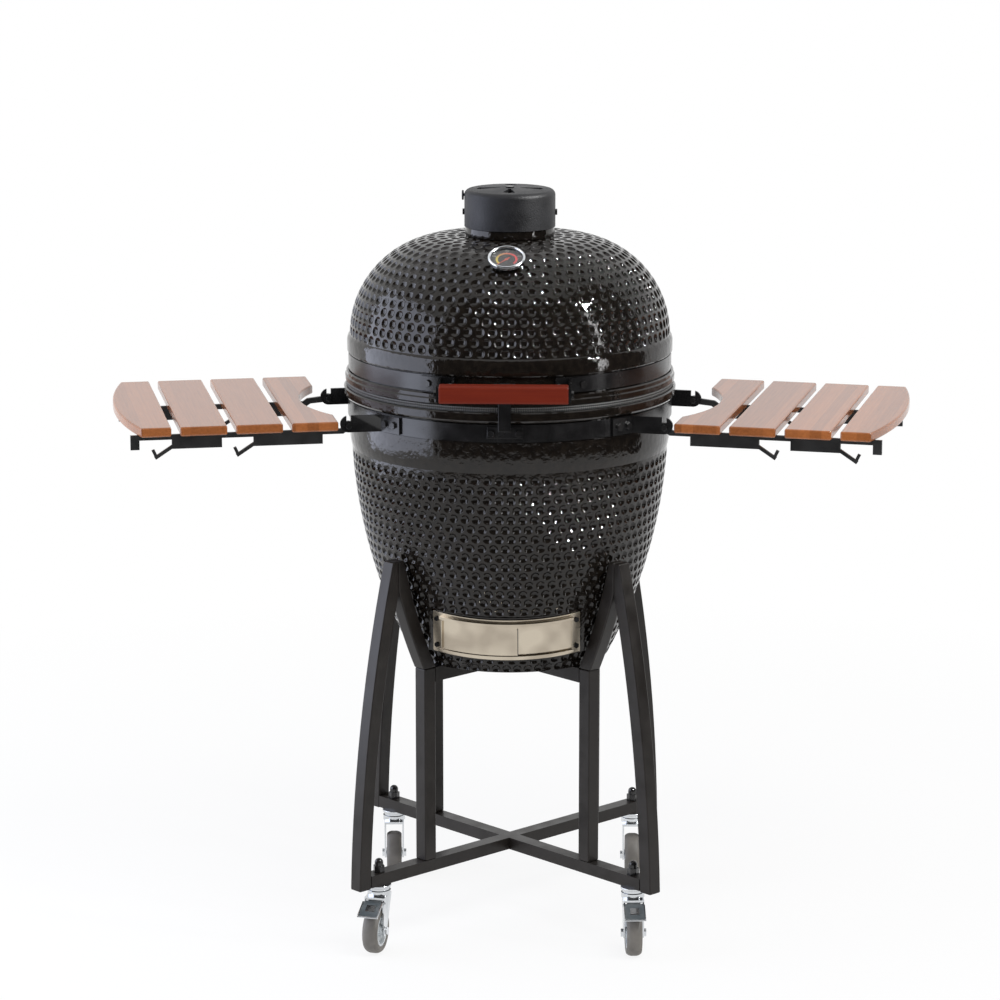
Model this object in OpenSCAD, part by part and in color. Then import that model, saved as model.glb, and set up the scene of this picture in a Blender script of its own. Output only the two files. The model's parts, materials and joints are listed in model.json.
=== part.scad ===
// Kamado ceramic grill on a wheeled stand, with two folding side shelves.
// Millimetres, +Z up. The origin is on the floor, under the axis of the ceramic body; the
// handle and the draft door face -Y, and the shelves stand out along X.

/* [Bowl] */
// How far the bowl's rim stands outside its band
rim_out = 6; // [2:0.5:12]
// Height of the bowl, from its foot to its rim
bowl_h = 446; // [430:1:470]
// Thickness of the bowl's wall
bowl_wall = 28; // [22:1:34]
// Thickness of the bowl's floor
bowl_floor = 32; // [24:1:40]
// Height of the plain rim above the band
bowl_rim_h = 20; // [14:1:26]
// Height of the smooth belt below the band
bowl_belt_h = 40; // [24:1:60]
// Radius of the curve of the bowl's side
bowl_curve_r = 850; // [700:10:1100]
// How far the bowl's side leans in at the top of that curve, degrees
bowl_lean = 3; // [1:0.5:5]

/* [Lid] */
// How far the lid's rim lies inside the bowl's rim
lid_rim_in = 2; // [0:0.5:6]
// Height of the lid's rim below its band
lid_rim_h = 20; // [16:1:30]
// Height of the smooth belt above the lid's band
lid_belt_h = 28; // [16:1:40]
// Radius of the dome's shoulder, seen from the side
dome_curve_r = 160; // [140:1:180]
// How far the dome's foot lies inside the lid's band
dome_in = 2.5; // [1:0.5:6]
// Thickness of the lid's wall
lid_wall = 26; // [20:1:32]
// Radius of the hole in the crown
lid_hole_r = 58; // [45:1:64]

/* [Seals and bands] */
// Thickness of each woven seal
seal_t = 4; // [2:0.5:6]
// Width of each woven seal
seal_w = 24; // [16:1:28]
// Outer radius of the bowl's steel band
base_band_r = 264; // [250:1:280]
// How far the lid's steel band lies inside the lid's rim
lid_band_in = 5.5; // [3:0.5:9]
// Height of the bowl's band
base_band_h = 28; // [22:1:32]
// Height of the lid's band
lid_band_h = 25; // [20:1:30]
// Thickness of the bands' steel
band_t = 3; // [2:0.5:4]
// Half the gap at the front of the lid's band
lid_band_gap = 79; // [60:1:90]
// Half the gap at the back of the bowl's band
base_band_gap = 14; // [8:1:20]

/* [Inside] */
// Room between the bowl and the firebox at its foot
firebox_foot_room = 10.2; // [6:0.2:20]
// Room between the bowl and the firebox at its top
firebox_top_room = 27.5; // [20:0.5:40]
// Height of the firebox
firebox_h = 259; // [240:1:270]
// Wall of the firebox
firebox_wall = 21; // [15:1:26]
// Height of the ledge for the charcoal grate, above the firebox's foot
ledge_h = 59; // [50:1:80]
// How far the ledge reaches inside the firebox's foot
ledge_in = 28; // [22:1:40]
// How far the charcoal grate lies on the ledge
grate_on_ledge = 14; // [8:1:17]
// Thickness of the charcoal grate
charcoal_grate_t = 8; // [5:1:12]
// Room between the bowl and the fire ring
fire_ring_room = 23.3; // [15:0.1:30]
// Wall of the fire ring
fire_ring_wall = 24; // [16:1:28]
// Height of the fire ring
fire_ring_h = 112; // [90:1:118]
// Room between the bowl and the cooking grid
grid_room = 7.3; // [3:0.1:15]
// Thickness of the cooking grid's bars
grid_bar = 6; // [4:1:8]
// Distance between the cooking grid's bars
grid_pitch = 22; // [16:1:30]

/* [Top vent] */
// Outer radius of the cast cap
cap_r = 73.5; // [70:0.5:80]
// Height of the cast cap
cap_h = 60; // [50:1:75]
// Wall of the cast cap
cap_wall = 5; // [4:0.5:7]
// Rounding of the cap's shoulder
cap_round = 9; // [6:1:12]
// Height of the collar's flange on the crown
collar_h = 15; // [8:1:20]
// How far the damper turns, degrees
damper_turn = 40; // [20:5:42]

/* [Thermometer] */
// Radius of the thermometer's case
gauge_r = 29.5; // [25:0.5:34]
// Height of its face above the lid
gauge_h = 12; // [9:0.5:16]
// Slope of its axis above level, degrees
gauge_angle = 62.5; // [55:0.5:70]
// Length of its probe below the lid's inner face
probe_l = 45; // [25:1:70]
// Direction of the pointer at rest, degrees anticlockwise from the top of the dial
pointer_rest = 135; // [-135:5:135]

/* [Handle and latch] */
// Length of the wooden bar
handle_len = 200; // [160:2:240]
// Height of the wooden bar
handle_h = 28; // [22:1:34]
// Depth of the wooden bar
handle_d = 26; // [20:1:32]
// Finger room between the bar and the lid's band
handle_gap = 50; // [42:1:60]
// Thickness of the handle's brackets
handle_plate = 4; // [3:0.5:5]
// Width of the latch arm
latch_w = 20; // [14:1:26]
// Thickness of the latch arm
latch_t = 10; // [7:1:12]

/* [Draft door] */
// How far the draft door's seat stands out of the bowl at its top
seat_proud = 2.07; // [1.5:0.01:4]
// Height of the draft frame
draft_h = 70; // [60:1:74]
// How far the draft frame leans forward at the top, degrees
draft_tilt = 11; // [8:0.5:13]
// Half the angle that the frame spans, degrees
draft_half = 34.5; // [30:0.5:36]

/* [Side shelves] */
// Height of the boards' top
shelf_top_z = 873; // [868:1:876]
// Thickness of the boards
board_t = 15; // [12:1:17]
// Width of one board
board_w = 74; // [60:1:80]
// Gap between boards
board_gap = 14; // [8:1:18]
// Length of the boards
board_l = 410; // [360:2:450]
// Angle by which each shelf is swung towards the front, degrees
shelf_swing = 12; // [8:0.5:14]
// How far the front pivot lies inside the reach of the bowl's band to the side
pivot_in = 14; // [4:1:20]
// Distance of the front pivot in front of the body's axis
pivot_y = 189; // [180:1:196]
// Distance between the two rails of a shelf
rail_pitch = 239; // [220:1:260]
// Depth by which the inner board is hollowed round the body
hollow_d = 36; // [20:1:50]

/* [Stand] */
// Width of the square tube
tube = 24; // [18:1:28]
// Height of the cradle on which the bowl stands
cradle_z = 454; // [420:2:480]
// Room between the bowl's foot and the inner posts
post_room = 12.5; // [6:0.5:20]
// Room between the bowl and the tops of the braces
brace_room = 8.5; // [7:0.5:14]
// Distance of the legs' lower ends from the axis
leg_foot_r = 330; // [315:1:345]
// Height of the legs' tops
leg_top_z = 642; // [600:2:660]
// Radius of the curve of the legs
leg_curve_r = 2400; // [2200:50:3200]
// Height of the lower crossbars' top
bar_top_z = 130; // [126:1:140]
// Height of the lower crossbars
bar_h = 20; // [16:1:24]

/* [Casters] */
// Radius of the wheels
wheel_r = 37.5; // [35:0.5:38]
// Width of the wheels
wheel_w = 25; // [20:1:28]
// Distance of the casters' stems from the legs' lower ends
stem_in = 39; // [34:1:60]
// Distance of each wheel's axle behind its stem
trail = 20; // [15:1:24]
// Headings of the casters at the front left, front right, rear left and rear right, degrees
caster_turn = [-14, 4, 3, 1]; // [-180:1:180]

/* [Hidden] */
$fn = 96;

// Clearances that several pieces share.
seat_gap = 0.3;    // between a piece and the ceramic or board it lies on
run_gap = 0.06;    // radial, between a pin and the hole that turns on it
eps = 1;           // overshoot of cutting solids

// Radii that follow the bowl's band.
bowl_rim_r = base_band_r + rim_out;
lid_rim_r = bowl_rim_r - lid_rim_in;
lid_band_r = lid_rim_r - lid_band_in;
dome_crown_r = lid_band_r - dome_in - dome_curve_r;
pivot_x = base_band_r - pivot_in;

// Heights, from the floor up.
rim_z = cradle_z + bowl_h;
base_band_top = rim_z - bowl_rim_h;
base_band_z = base_band_top - base_band_h;
belt_z = base_band_z - bowl_belt_h;
parting_z = rim_z + seal_t;
lid_z = parting_z + seat_gap + seal_t;
lid_band_z = lid_z + lid_rim_h;
lid_band_top = lid_band_z + lid_band_h;
lid_belt_top = lid_band_top + lid_belt_h;
crown_z = lid_belt_top + dome_curve_r;
base_band_mid = base_band_z + base_band_h / 2;
lid_band_mid = lid_band_z + lid_band_h / 2;

// Colours.
glaze = [0.09, 0.09, 0.10];
cast_iron = [0.24, 0.24, 0.26];
black_steel = [0.20, 0.19, 0.19];
band_steel = [0.24, 0.24, 0.26];
bright_steel = [0.72, 0.69, 0.62];
chrome = [0.80, 0.80, 0.82];
clay = [0.80, 0.72, 0.60];
red_wood = [0.48, 0.17, 0.08];
bamboo = [0.72, 0.48, 0.32];

function arc(cx, cy, r, a0, a1, n) =
    [for (i = [0:n]) let (a = a0 + (a1 - a0) * i / n) [cx + r * cos(a), cy + r * sin(a)]];

// A ring with a rectangular section, from r0 to r1 and from z0 to z1.
module ring(r0, r1, z0, z1) {
    rotate_extrude()
        translate([r0, z0])
            square([r1 - r0, z1 - z0]);
}

// A part of such a ring, from a0 to a1 in degrees about Z; -90 is the front.
module ring_part(r0, r1, z0, z1, a0, a1) {
    rotate([0, 0, a0])
        rotate_extrude(angle = a1 - a0)
            translate([r0, z0])
                square([r1 - r0, z1 - z0]);
}

// A bolt along +Z with its head's underside at z = 0 and its shank below.
module bolt(r, l, head_r, head_h) {
    cylinder(r = head_r, h = head_h, $fn = 6);
    translate([0, 0, -l])
        cylinder(r = r, h = l + head_h / 2, $fn = 32);
}

// Places its children on the four diagonals.
module at_corners() {
    for (k = [0:3])
        rotate([0, 0, 45 + 90 * k])
            children();
}

// ---------------------------------------------------------------- ceramic bowl

dimple_r = base_band_r - 6.7;
bowl_axis_r = dimple_r - bowl_curve_r * cos(bowl_lean);
curve_top_z = belt_z - 12;
bowl_axis_z = curve_top_z + bowl_curve_r * sin(bowl_lean);
base_seat_r = base_band_r - band_t - seat_gap;
function bowl_angle(z, r) = asin((bowl_axis_z - z) / r);
function bowl_side(z, r) = bowl_axis_r + r * cos(bowl_angle(z, r));
bowl_in_r = bowl_curve_r - bowl_wall;
floor_z = cradle_z + bowl_floor;
chamber_r = bowl_side(curve_top_z, bowl_in_r);

bowl_outline = concat(
    [[0, cradle_z]],
    arc(bowl_axis_r, bowl_axis_z, bowl_curve_r,
        -bowl_angle(cradle_z, bowl_curve_r), -bowl_lean, 20),
    [[dimple_r + 1.6, belt_z - 6], [dimple_r + 3.2, belt_z + 4],
     [base_seat_r + 1, base_band_z - 2], [base_seat_r, base_band_z - 2],
     [base_seat_r, base_band_top + 2], [base_seat_r + 4, base_band_top + 2],
     [bowl_rim_r - 2, base_band_top + 4], [bowl_rim_r, base_band_top + 7],
     [bowl_rim_r, rim_z - 2], [bowl_rim_r - 2, rim_z], [0, rim_z]]);

bowl_hollow = concat(
    [[0, floor_z]],
    arc(bowl_axis_r, bowl_axis_z, bowl_in_r, -bowl_angle(floor_z, bowl_in_r),
        -bowl_angle(curve_top_z, bowl_in_r), 16),
    [[chamber_r, rim_z + eps], [0, rim_z + eps]]);

// The draft seat's own frame: its axis leans forward and it is centred on the opening.
draft_mid_z = cradle_z + 64;
seat_half_h = draft_h / 2;
seat_top_z = draft_mid_z + 2 * sin(draft_tilt) + seat_half_h * cos(draft_tilt);
draft_r = (bowl_side(seat_top_z, bowl_curve_r) + seat_proud - seat_half_h * sin(draft_tilt))
          / cos(draft_tilt);
draft_axis_z = draft_mid_z + (draft_r + 2) * sin(draft_tilt);
draft_mouth_h = 42;
draft_mouth_half = 25;

module in_draft_frame() {
    translate([0, 0, draft_axis_z])
        rotate([draft_tilt, 0, 0])
            children();
}

module base_shell() {
    color(glaze)
        difference() {
            union() {
                rotate_extrude()
                    polygon(bowl_outline);
                in_draft_frame()
                    ring_part(draft_r - 60, draft_r, -draft_h / 2 - 3, draft_h / 2 + 3,
                              -90 - draft_half - 3, -90 + draft_half + 3);
            }
            rotate_extrude()
                polygon(bowl_hollow);
            in_draft_frame()
                ring_part(draft_r - 120, draft_r + 20, -draft_mouth_h / 2, draft_mouth_h / 2,
                          -90 - draft_mouth_half, -90 + draft_mouth_half);
        }
}

module base_seal() {
    color("dimgray")
        ring(lid_rim_r - 2 - seal_w, lid_rim_r - 2, rim_z, rim_z + seal_t);
}

// ---------------------------------------------------------------- bowl's band and its bolts

band_bolt_r = 3;
band_head_r = 6;
band_head_h = 4;
ear_t = 3;
ear_out = 24;
clamp_nut_h = 5;

module base_band() {
    half = asin(base_band_gap / base_band_r);
    color(band_steel) {
        ring_part(base_band_r - band_t, base_band_r, base_band_z, base_band_top,
                  90 + half, 450 - half);
        for (s = [-1, 1])
            translate([s > 0 ? base_band_gap : -base_band_gap - ear_t, base_band_r - band_t,
                       base_band_z + 3])
                cube([ear_t, ear_out, base_band_h - 6]);
    }
}

// A bolt into a band at angle a from the front, its head on the radius r_face.
module band_bolt(a, z, r_face, r_band) {
    rotate([0, 0, a - 90])
        translate([r_face, 0, z])
            rotate([0, 90, 0])
                bolt(band_bolt_r, r_face - r_band + band_t, band_head_r, band_head_h);
}

// A clamp bolt along X from -x to x at the distance y, through two ears.
module clamp_bolt(x, y, z, r) {
    translate([-x, y, z])
        rotate([0, 90, 0]) {
            translate([0, 0, -clamp_nut_h])
                cylinder(r = r, h = 2 * (x + clamp_nut_h), $fn = 32);
            for (end = [-clamp_nut_h, 2 * x])
                translate([0, 0, end])
                    cylinder(r = 2 * r, h = clamp_nut_h, $fn = 6);
        }
}

// The foot of a bracket on a band: a curved plate centred on the angle a from the front.
module band_foot(r_band, a, half, z_mid, h, t) {
    ring_part(r_band + seat_gap, r_band + seat_gap + t, z_mid - h / 2, z_mid + h / 2,
              a - half - 90, a + half - 90);
}

// Angle from the front at which a shelf's arm, v behind the front one, meets the band.
function arm_meets(v) =
    let (p = [pivot_x + v * sin(shelf_swing), v * cos(shelf_swing) - pivot_y],
         d = [-cos(shelf_swing), sin(shelf_swing)],
         q = p - d * (p * d + sqrt(pow(p * d, 2) - p * p + pow(base_band_r, 2))))
    atan2(q[0], -q[1]);

foot_t = 4;
arm_h = 27;
front_foot_a = arm_meets(0) - 4;
rear_foot_a = arm_meets(rail_pitch) + 4.2;
shelf_foot_half = 4.75;
shelf_bolt_a = 2.1;

module base_band_bolts() {
    color("dimgray") {
        for (s = [-1, 1]) {
            for (a = [front_foot_a, rear_foot_a])
                for (d = [-shelf_bolt_a, shelf_bolt_a])
                    band_bolt(s * (a + d), base_band_mid, base_band_r + seat_gap + foot_t,
                              base_band_r);
            band_bolt(s * latch_bolt_a, base_band_mid + 1,
                      base_band_r + seat_gap + latch_plate_t, base_band_r);
            band_bolt(180 + s * hinge_bolt_a, base_band_mid, base_band_r + seat_gap + foot_t,
                      base_band_r);
        }
        clamp_bolt(base_band_gap + ear_t, base_band_r + ear_out - 10, base_band_mid, 3);
    }
}

// ---------------------------------------------------------------- inside the bowl

firebox_z = floor_z + seat_gap;
firebox_top = firebox_z + firebox_h;
firebox_foot_r = bowl_side(floor_z, bowl_in_r) - firebox_foot_room;
firebox_top_r = bowl_side(firebox_top, bowl_in_r) - firebox_top_room;
ledge_r = firebox_foot_r - ledge_in;
charcoal_grate_r = ledge_r + grate_on_ledge;
fire_ring_r = chamber_r - fire_ring_room;
grid_r = chamber_r - grid_room;
ledge_z = firebox_z + ledge_h;
fire_ring_z = firebox_top + seat_gap;
grid_z = fire_ring_z + fire_ring_h + seat_gap;
mouth_w = 110;

module firebox() {
    color(clay)
        difference() {
            rotate_extrude()
                polygon([
                    [ledge_r, firebox_z], [firebox_foot_r, firebox_z],
                    [firebox_top_r, firebox_top], [firebox_top_r - firebox_wall, firebox_top],
                    [firebox_foot_r + (firebox_top_r - firebox_foot_r) * ledge_h / firebox_h
                     - firebox_wall, ledge_z],
                    [ledge_r, ledge_z]]);
            translate([-mouth_w / 2, -firebox_top_r, firebox_z - eps])
                cube([mouth_w, firebox_top_r, draft_mouth_h + eps]);
        }
}

module charcoal_grate() {
    slot = 9;
    color(cast_iron)
        difference() {
            translate([0, 0, ledge_z + seat_gap])
                cylinder(r = charcoal_grate_r, h = charcoal_grate_t);
            for (i = [-5:5])
                let (x = i * 2 * slot, l = sqrt(pow(charcoal_grate_r - 12, 2) - x * x))
                    for (s = [-1, 1])
                        translate([x - slot / 2, s < 0 ? -l : 6, ledge_z])
                            cube([slot, l - 6, charcoal_grate_t + 2 * eps]);
        }
}

module fire_ring() {
    color(clay)
        ring(fire_ring_r - fire_ring_wall, fire_ring_r, fire_ring_z, fire_ring_z + fire_ring_h);
}

module cooking_grid() {
    side_bars = floor(grid_r / grid_pitch);
    color(bright_steel) {
        ring(grid_r - grid_bar, grid_r, grid_z, grid_z + grid_bar);
        intersection() {
            translate([0, 0, grid_z])
                cylinder(r = grid_r - grid_bar / 2, h = grid_bar);
            union() {
                for (i = [-side_bars:side_bars])
                    translate([i * grid_pitch - grid_bar / 2, -grid_r, grid_z])
                        cube([grid_bar, 2 * grid_r, grid_bar]);
                for (y = [-grid_r / 2, grid_r / 2])
                    translate([-grid_r, y - grid_bar / 2, grid_z])
                        cube([2 * grid_r, grid_bar, grid_bar]);
            }
        }
    }
}

// ---------------------------------------------------------------- lid

dome_r = dome_crown_r + dome_curve_r;
lid_in_r = dome_curve_r - lid_wall;
lid_seat_r = lid_band_r - band_t - seat_gap;
lid_belt_r = dome_r + 4.5;
lid_chamber_r = dome_crown_r + lid_in_r;

lid_outline = concat(
    [[lid_hole_r, lid_z], [lid_rim_r - 2, lid_z], [lid_rim_r, lid_z + 2],
     [lid_rim_r, lid_z + 9], [lid_rim_r - 2, lid_z + 11], [lid_rim_r - 2, lid_band_z - 4],
     [lid_rim_r - 4, lid_band_z - 2], [lid_seat_r, lid_band_z - 2],
     [lid_seat_r, lid_band_top + 2], [lid_belt_r - 1.5, lid_band_top + 2],
     [lid_belt_r, lid_band_top + 4], [lid_belt_r, lid_belt_top - 6],
     [lid_belt_r - 1.5, lid_belt_top - 1], [dome_r, lid_belt_top + 2]],
    arc(dome_crown_r, lid_belt_top, dome_curve_r, 3, 90, 28),
    [[lid_hole_r, crown_z]]);

lid_hollow = concat(
    [[0, lid_z - eps], [lid_chamber_r, lid_z - eps]],
    arc(dome_crown_r, lid_belt_top, lid_in_r, 0, 90, 20),
    [[0, crown_z - lid_wall]]);

// The thermometer's own frame: its axis points out of the dome at gauge_angle.
module in_gauge_frame() {
    translate([0, -dome_crown_r - dome_curve_r * cos(gauge_angle),
               lid_belt_top + dome_curve_r * sin(gauge_angle)])
        rotate([90 - gauge_angle, 0, 0])
            children();
}

module lid_shell() {
    color(glaze)
        difference() {
            rotate_extrude()
                polygon(lid_outline);
            rotate_extrude()
                polygon(lid_hollow);
            in_gauge_frame()
                translate([0, 0, -2 * lid_wall])
                    cylinder(r = probe_hole_r, h = 3 * lid_wall, $fn = 48);
        }
}

module lid_seal() {
    color("dimgray")
        ring(lid_rim_r - 2 - seal_w, lid_rim_r - 2, lid_z - seal_t, lid_z);
}

// ---------------------------------------------------------------- lid's band, handle and latch

rod_r = 4;
rod_y = -bowl_rim_r - 9;
bar_y = -lid_band_r - handle_gap;
bracket_h = 22;
handle_foot_a = asin((handle_len / 2 + 1) / lid_band_r);
handle_foot_span = 7.5;

module lid_band() {
    half = asin(lid_band_gap / lid_band_r);
    ear_y = -sqrt(pow(lid_band_r - band_t, 2) - pow(lid_band_gap, 2));
    color(band_steel) {
        ring_part(lid_band_r - band_t, lid_band_r, lid_band_z, lid_band_top,
                  half - 90, 270 - half);
        for (s = [-1, 1])
            translate([s > 0 ? lid_band_gap : -lid_band_gap - ear_t, rod_y - 2.5 * rod_r,
                       lid_band_z + 2])
                cube([ear_t, ear_y - rod_y + 2.5 * rod_r, lid_band_h - 4]);
    }
}

module lid_band_bolts() {
    color("dimgray") {
        clamp_bolt(lid_band_gap + ear_t, rod_y, lid_band_mid, rod_r);
        for (s = [-1, 1]) {
            translate([s * (latch_w / 2 + 4), rod_y, lid_band_mid])
                rotate([0, 90, 0])
                    cylinder(r = 2 * rod_r, h = 5, center = true, $fn = 6);
            band_bolt(s * (handle_foot_a + handle_foot_span * 0.6), lid_band_mid,
                      lid_band_r + seat_gap + handle_plate, lid_band_r);
            band_bolt(180 + s * lid_hinge_bolt_a, lid_band_mid,
                      lid_band_r + seat_gap + foot_t, lid_band_r);
            translate([s * (handle_len / 2 + seat_gap + handle_plate), bar_y - handle_d / 2,
                       lid_band_mid])
                rotate([0, s * 90, 0])
                    bolt(3, 25, 6, 4);
        }
    }
}

module handle_bar() {
    c = 3;
    color(red_wood)
        translate([-handle_len / 2, bar_y, lid_band_mid - handle_h / 2])
            rotate([90, 0, 90])
                linear_extrude(handle_len)
                    polygon([
                        [-c, 0], [0, c], [0, handle_h - c], [-c, handle_h],
                        [c - handle_d, handle_h], [-handle_d, handle_h - c],
                        [-handle_d, c], [c - handle_d, 0]]);
}

module handle_brackets() {
    x = handle_len / 2 + seat_gap;
    color(black_steel)
        for (s = [-1, 1]) {
            band_foot(lid_band_r, s * (handle_foot_a + handle_foot_span / 2),
                      handle_foot_span / 2, lid_band_mid, bracket_h, handle_plate);
            difference() {
                translate([s > 0 ? x : -x - handle_plate, bar_y - handle_d + 4,
                           lid_band_mid - bracket_h / 2])
                    cube([handle_plate, handle_gap + handle_d + 24, bracket_h]);
                translate([0, 0, lid_band_z - 20])
                    cylinder(r = lid_band_r + seat_gap + handle_plate / 2,
                             h = lid_band_h + 40);
            }
        }
}

latch_plate_t = 3;
latch_plate_h = 18;
latch_plate_half = 6;
latch_bolt_a = 4.6;
latch_foot_h = 9;
latch_face_y = -bowl_rim_r - 1.2;
latch_z = base_band_mid + 7;

// The plate on the bowl's band, with the block on which the latch's foot closes.
module latch_plate() {
    block_w = latch_w - 2;
    color(black_steel) {
        band_foot(base_band_r, 0, latch_plate_half, base_band_mid + 2, latch_plate_h,
                  latch_plate_t);
        translate([-block_w / 2, latch_face_y, latch_z - 1])
            cube([block_w, -latch_face_y - base_band_r - 1, latch_foot_h - 3]);
    }
}

// The latch arm hangs from the clamp rod of the lid's band; its foot meets the latch plate.
module latch_arm() {
    foot_y = latch_face_y - seat_gap;
    color(black_steel)
        difference() {
            union() {
                translate([-latch_w / 2, rod_y, lid_band_mid])
                    rotate([0, 90, 0])
                        cylinder(r = rod_r + 5, h = latch_w);
                translate([-latch_w / 2, rod_y - latch_t / 2, latch_z])
                    cube([latch_w, latch_t, lid_band_mid - latch_z]);
                translate([-latch_w / 2, rod_y, latch_z])
                    cube([latch_w, foot_y - rod_y, latch_foot_h]);
            }
            translate([-latch_w, rod_y, lid_band_mid])
                rotate([0, 90, 0])
                    cylinder(r = rod_r + run_gap, h = 2 * latch_w);
        }
}

// ---------------------------------------------------------------- hinge at the back

pin_r = 4;
pin_y = bowl_rim_r + 26;
pin_z = parting_z;
hinge_ear_t = 5;
lid_ear_x = 31.5;
base_ear_x = lid_ear_x + hinge_ear_t + 0.5;
hinge_bolt_a = 5.9;
lid_hinge_bolt_a = 3.4;
hinge_eye_r = 9;

// An upright ear between x0 and x0 + hinge_ear_t, with its outline in the YZ plane, that ends
// inside the bracket's foot on a band of radius r_band.
module hinge_ear(x0, r_band, outline) {
    difference() {
        translate([x0, 0, 0])
            rotate([90, 0, 90])
                linear_extrude(hinge_ear_t)
                    union() {
                        polygon(outline);
                        translate([pin_y, pin_z])
                            circle(r = hinge_eye_r);
                    }
        translate([x0 - eps, pin_y, pin_z])
            rotate([0, 90, 0])
                cylinder(r = pin_r + run_gap, h = hinge_ear_t + 2 * eps);
        cylinder(r = r_band + seat_gap + foot_t / 2, h = 2 * crown_z);
    }
}

module hinge_base_bracket() {
    color(black_steel)
        for (s = [-1, 1]) {
            band_foot(base_band_r, 180 + s * 6.9, 2.8, base_band_mid, base_band_h - 4, foot_t);
            hinge_ear(s > 0 ? base_ear_x : -base_ear_x - hinge_ear_t, base_band_r, [
                [base_band_r - 12, base_band_z + 4], [pin_y, base_band_z + 12],
                [pin_y + hinge_eye_r, pin_z - 8], [pin_y + hinge_eye_r, pin_z],
                [pin_y - hinge_eye_r, pin_z], [bowl_rim_r + 3, base_band_top + 1],
                [base_band_r - 12, base_band_top - 3]]);
        }
}

module hinge_lid_bracket() {
    color(black_steel) {
        band_foot(lid_band_r, 180, 8.6, lid_band_mid, lid_band_h - 4, foot_t);
        for (s = [-1, 1])
            hinge_ear(s > 0 ? lid_ear_x : -lid_ear_x - hinge_ear_t, lid_band_r, [
                [lid_band_r - 12, lid_band_z + 3], [lid_rim_r + 4, lid_band_z - 2],
                [pin_y - hinge_eye_r, pin_z], [pin_y + hinge_eye_r, pin_z],
                [pin_y + hinge_eye_r - 2, lid_band_z + 4], [pin_y - 10, lid_band_top - 3],
                [lid_band_r - 12, lid_band_top - 3]]);
    }
}

module hinge_pin() {
    l = base_ear_x + hinge_ear_t + 3;
    color(bright_steel)
        translate([-l, pin_y, pin_z])
            rotate([0, 90, 0]) {
                cylinder(r = pin_r, h = 2 * l);
                cylinder(r = 7, h = 2);
                translate([0, 0, 2 * l - 2])
                    cylinder(r = 7, h = 2);
            }
}

module hinge_springs() {
    color("dimgray")
        for (x = [-28, 2])
            translate([x, pin_y, pin_z])
                rotate([0, 90, 0])
                    difference() {
                        cylinder(r = pin_r + seat_gap + 3, h = 26);
                        translate([0, 0, -eps])
                            cylinder(r = pin_r + seat_gap, h = 26 + 2 * eps);
                    }
}

// ---------------------------------------------------------------- thermometer

probe_r = 3.5;
probe_hole_r = 5;
case_z = 3;
case_wall = 1.5;
dial_z = case_z + case_wall;
dial_t = 0.6;
pointer_z = dial_z + dial_t + seat_gap;
pointer_t = 0.6;
spindle_r = 1;

module thermometer_case() {
    color(chrome)
        in_gauge_frame()
            rotate_extrude()
                polygon([
                    [probe_r + seat_gap, case_z], [gauge_r - 2, case_z],
                    [gauge_r, case_z + 2], [gauge_r, gauge_h - 1.5], [gauge_r - 1.5, gauge_h],
                    [gauge_r - 2.5, gauge_h], [gauge_r - 4, gauge_h - 1.5],
                    [gauge_r - 4, gauge_h - 3.5], [gauge_r - case_wall - 1, gauge_h - 3.5],
                    [gauge_r - case_wall - 1, dial_z], [probe_r + seat_gap, dial_z]]);
}

module thermometer_dial() {
    color("black")
        in_gauge_frame()
            ring(spindle_r + seat_gap, gauge_r - case_wall - 1.3, dial_z, dial_z + dial_t);
}

module thermometer_pointer() {
    color("gold")
        in_gauge_frame()
            translate([0, 0, pointer_z])
                rotate([0, 0, pointer_rest])
                    linear_extrude(pointer_t)
                        difference() {
                            union() {
                                circle(r = 2.6, $fn = 48);
                                polygon([[-1.2, -7], [1.2, -7], [0.4, gauge_r - 9],
                                         [-0.4, gauge_r - 9]]);
                            }
                            circle(r = spindle_r + run_gap, $fn = 48);
                        }
}

module thermometer_lens() {
    color([0.8, 0.85, 0.9, 0.4])
        in_gauge_frame()
            translate([0, 0, gauge_h - 5])
                cylinder(r = gauge_r - case_wall - 1.3, h = 1.2);
}

module thermometer_stem() {
    color(bright_steel)
        in_gauge_frame() {
            translate([0, 0, -lid_wall - probe_l])
                cylinder(r = probe_r, h = lid_wall + probe_l + dial_z, $fn = 48);
            cylinder(r = spindle_r, h = pointer_z + pointer_t + 0.3, $fn = 48);
            translate([0, 0, seat_gap])
                cylinder(r = 12, h = case_z - seat_gap);
            translate([0, 0, -lid_wall - 6.5])
                cylinder(r = 9, h = 6, $fn = 6);
        }
}

// ---------------------------------------------------------------- top vent

collar_z = crown_z + seat_gap;
collar_top = collar_z + collar_h;
cap_z = collar_top;
cap_top = cap_z + cap_h;
cap_in_r = cap_r - cap_wall;
cap_cone_h = 3;
cap_plate_t = 8;
damper_z = cap_top - cap_plate_t - seat_gap - 3;
damper_t = 3;
vent_screw_z = cap_z + 23;
rivet_r = 4;
tab_w = 10;

hole_start = 16;
hole_start_half = 1.5;
hole_end = 50;
hole_half = 10;
hole_round = 4;

// Four narrow triangular holes round the axis, which the cap's top and the damper share.
module vent_holes(z, h) {
    for (k = [0:3])
        rotate([0, 0, 90 * k])
            translate([0, 0, z])
                linear_extrude(h)
                    polygon([
                        [hole_start, -hole_start_half], [hole_end, -hole_half],
                        [hole_end + hole_round, 0], [hole_end, hole_half],
                        [hole_start, hole_start_half]]);
}

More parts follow.
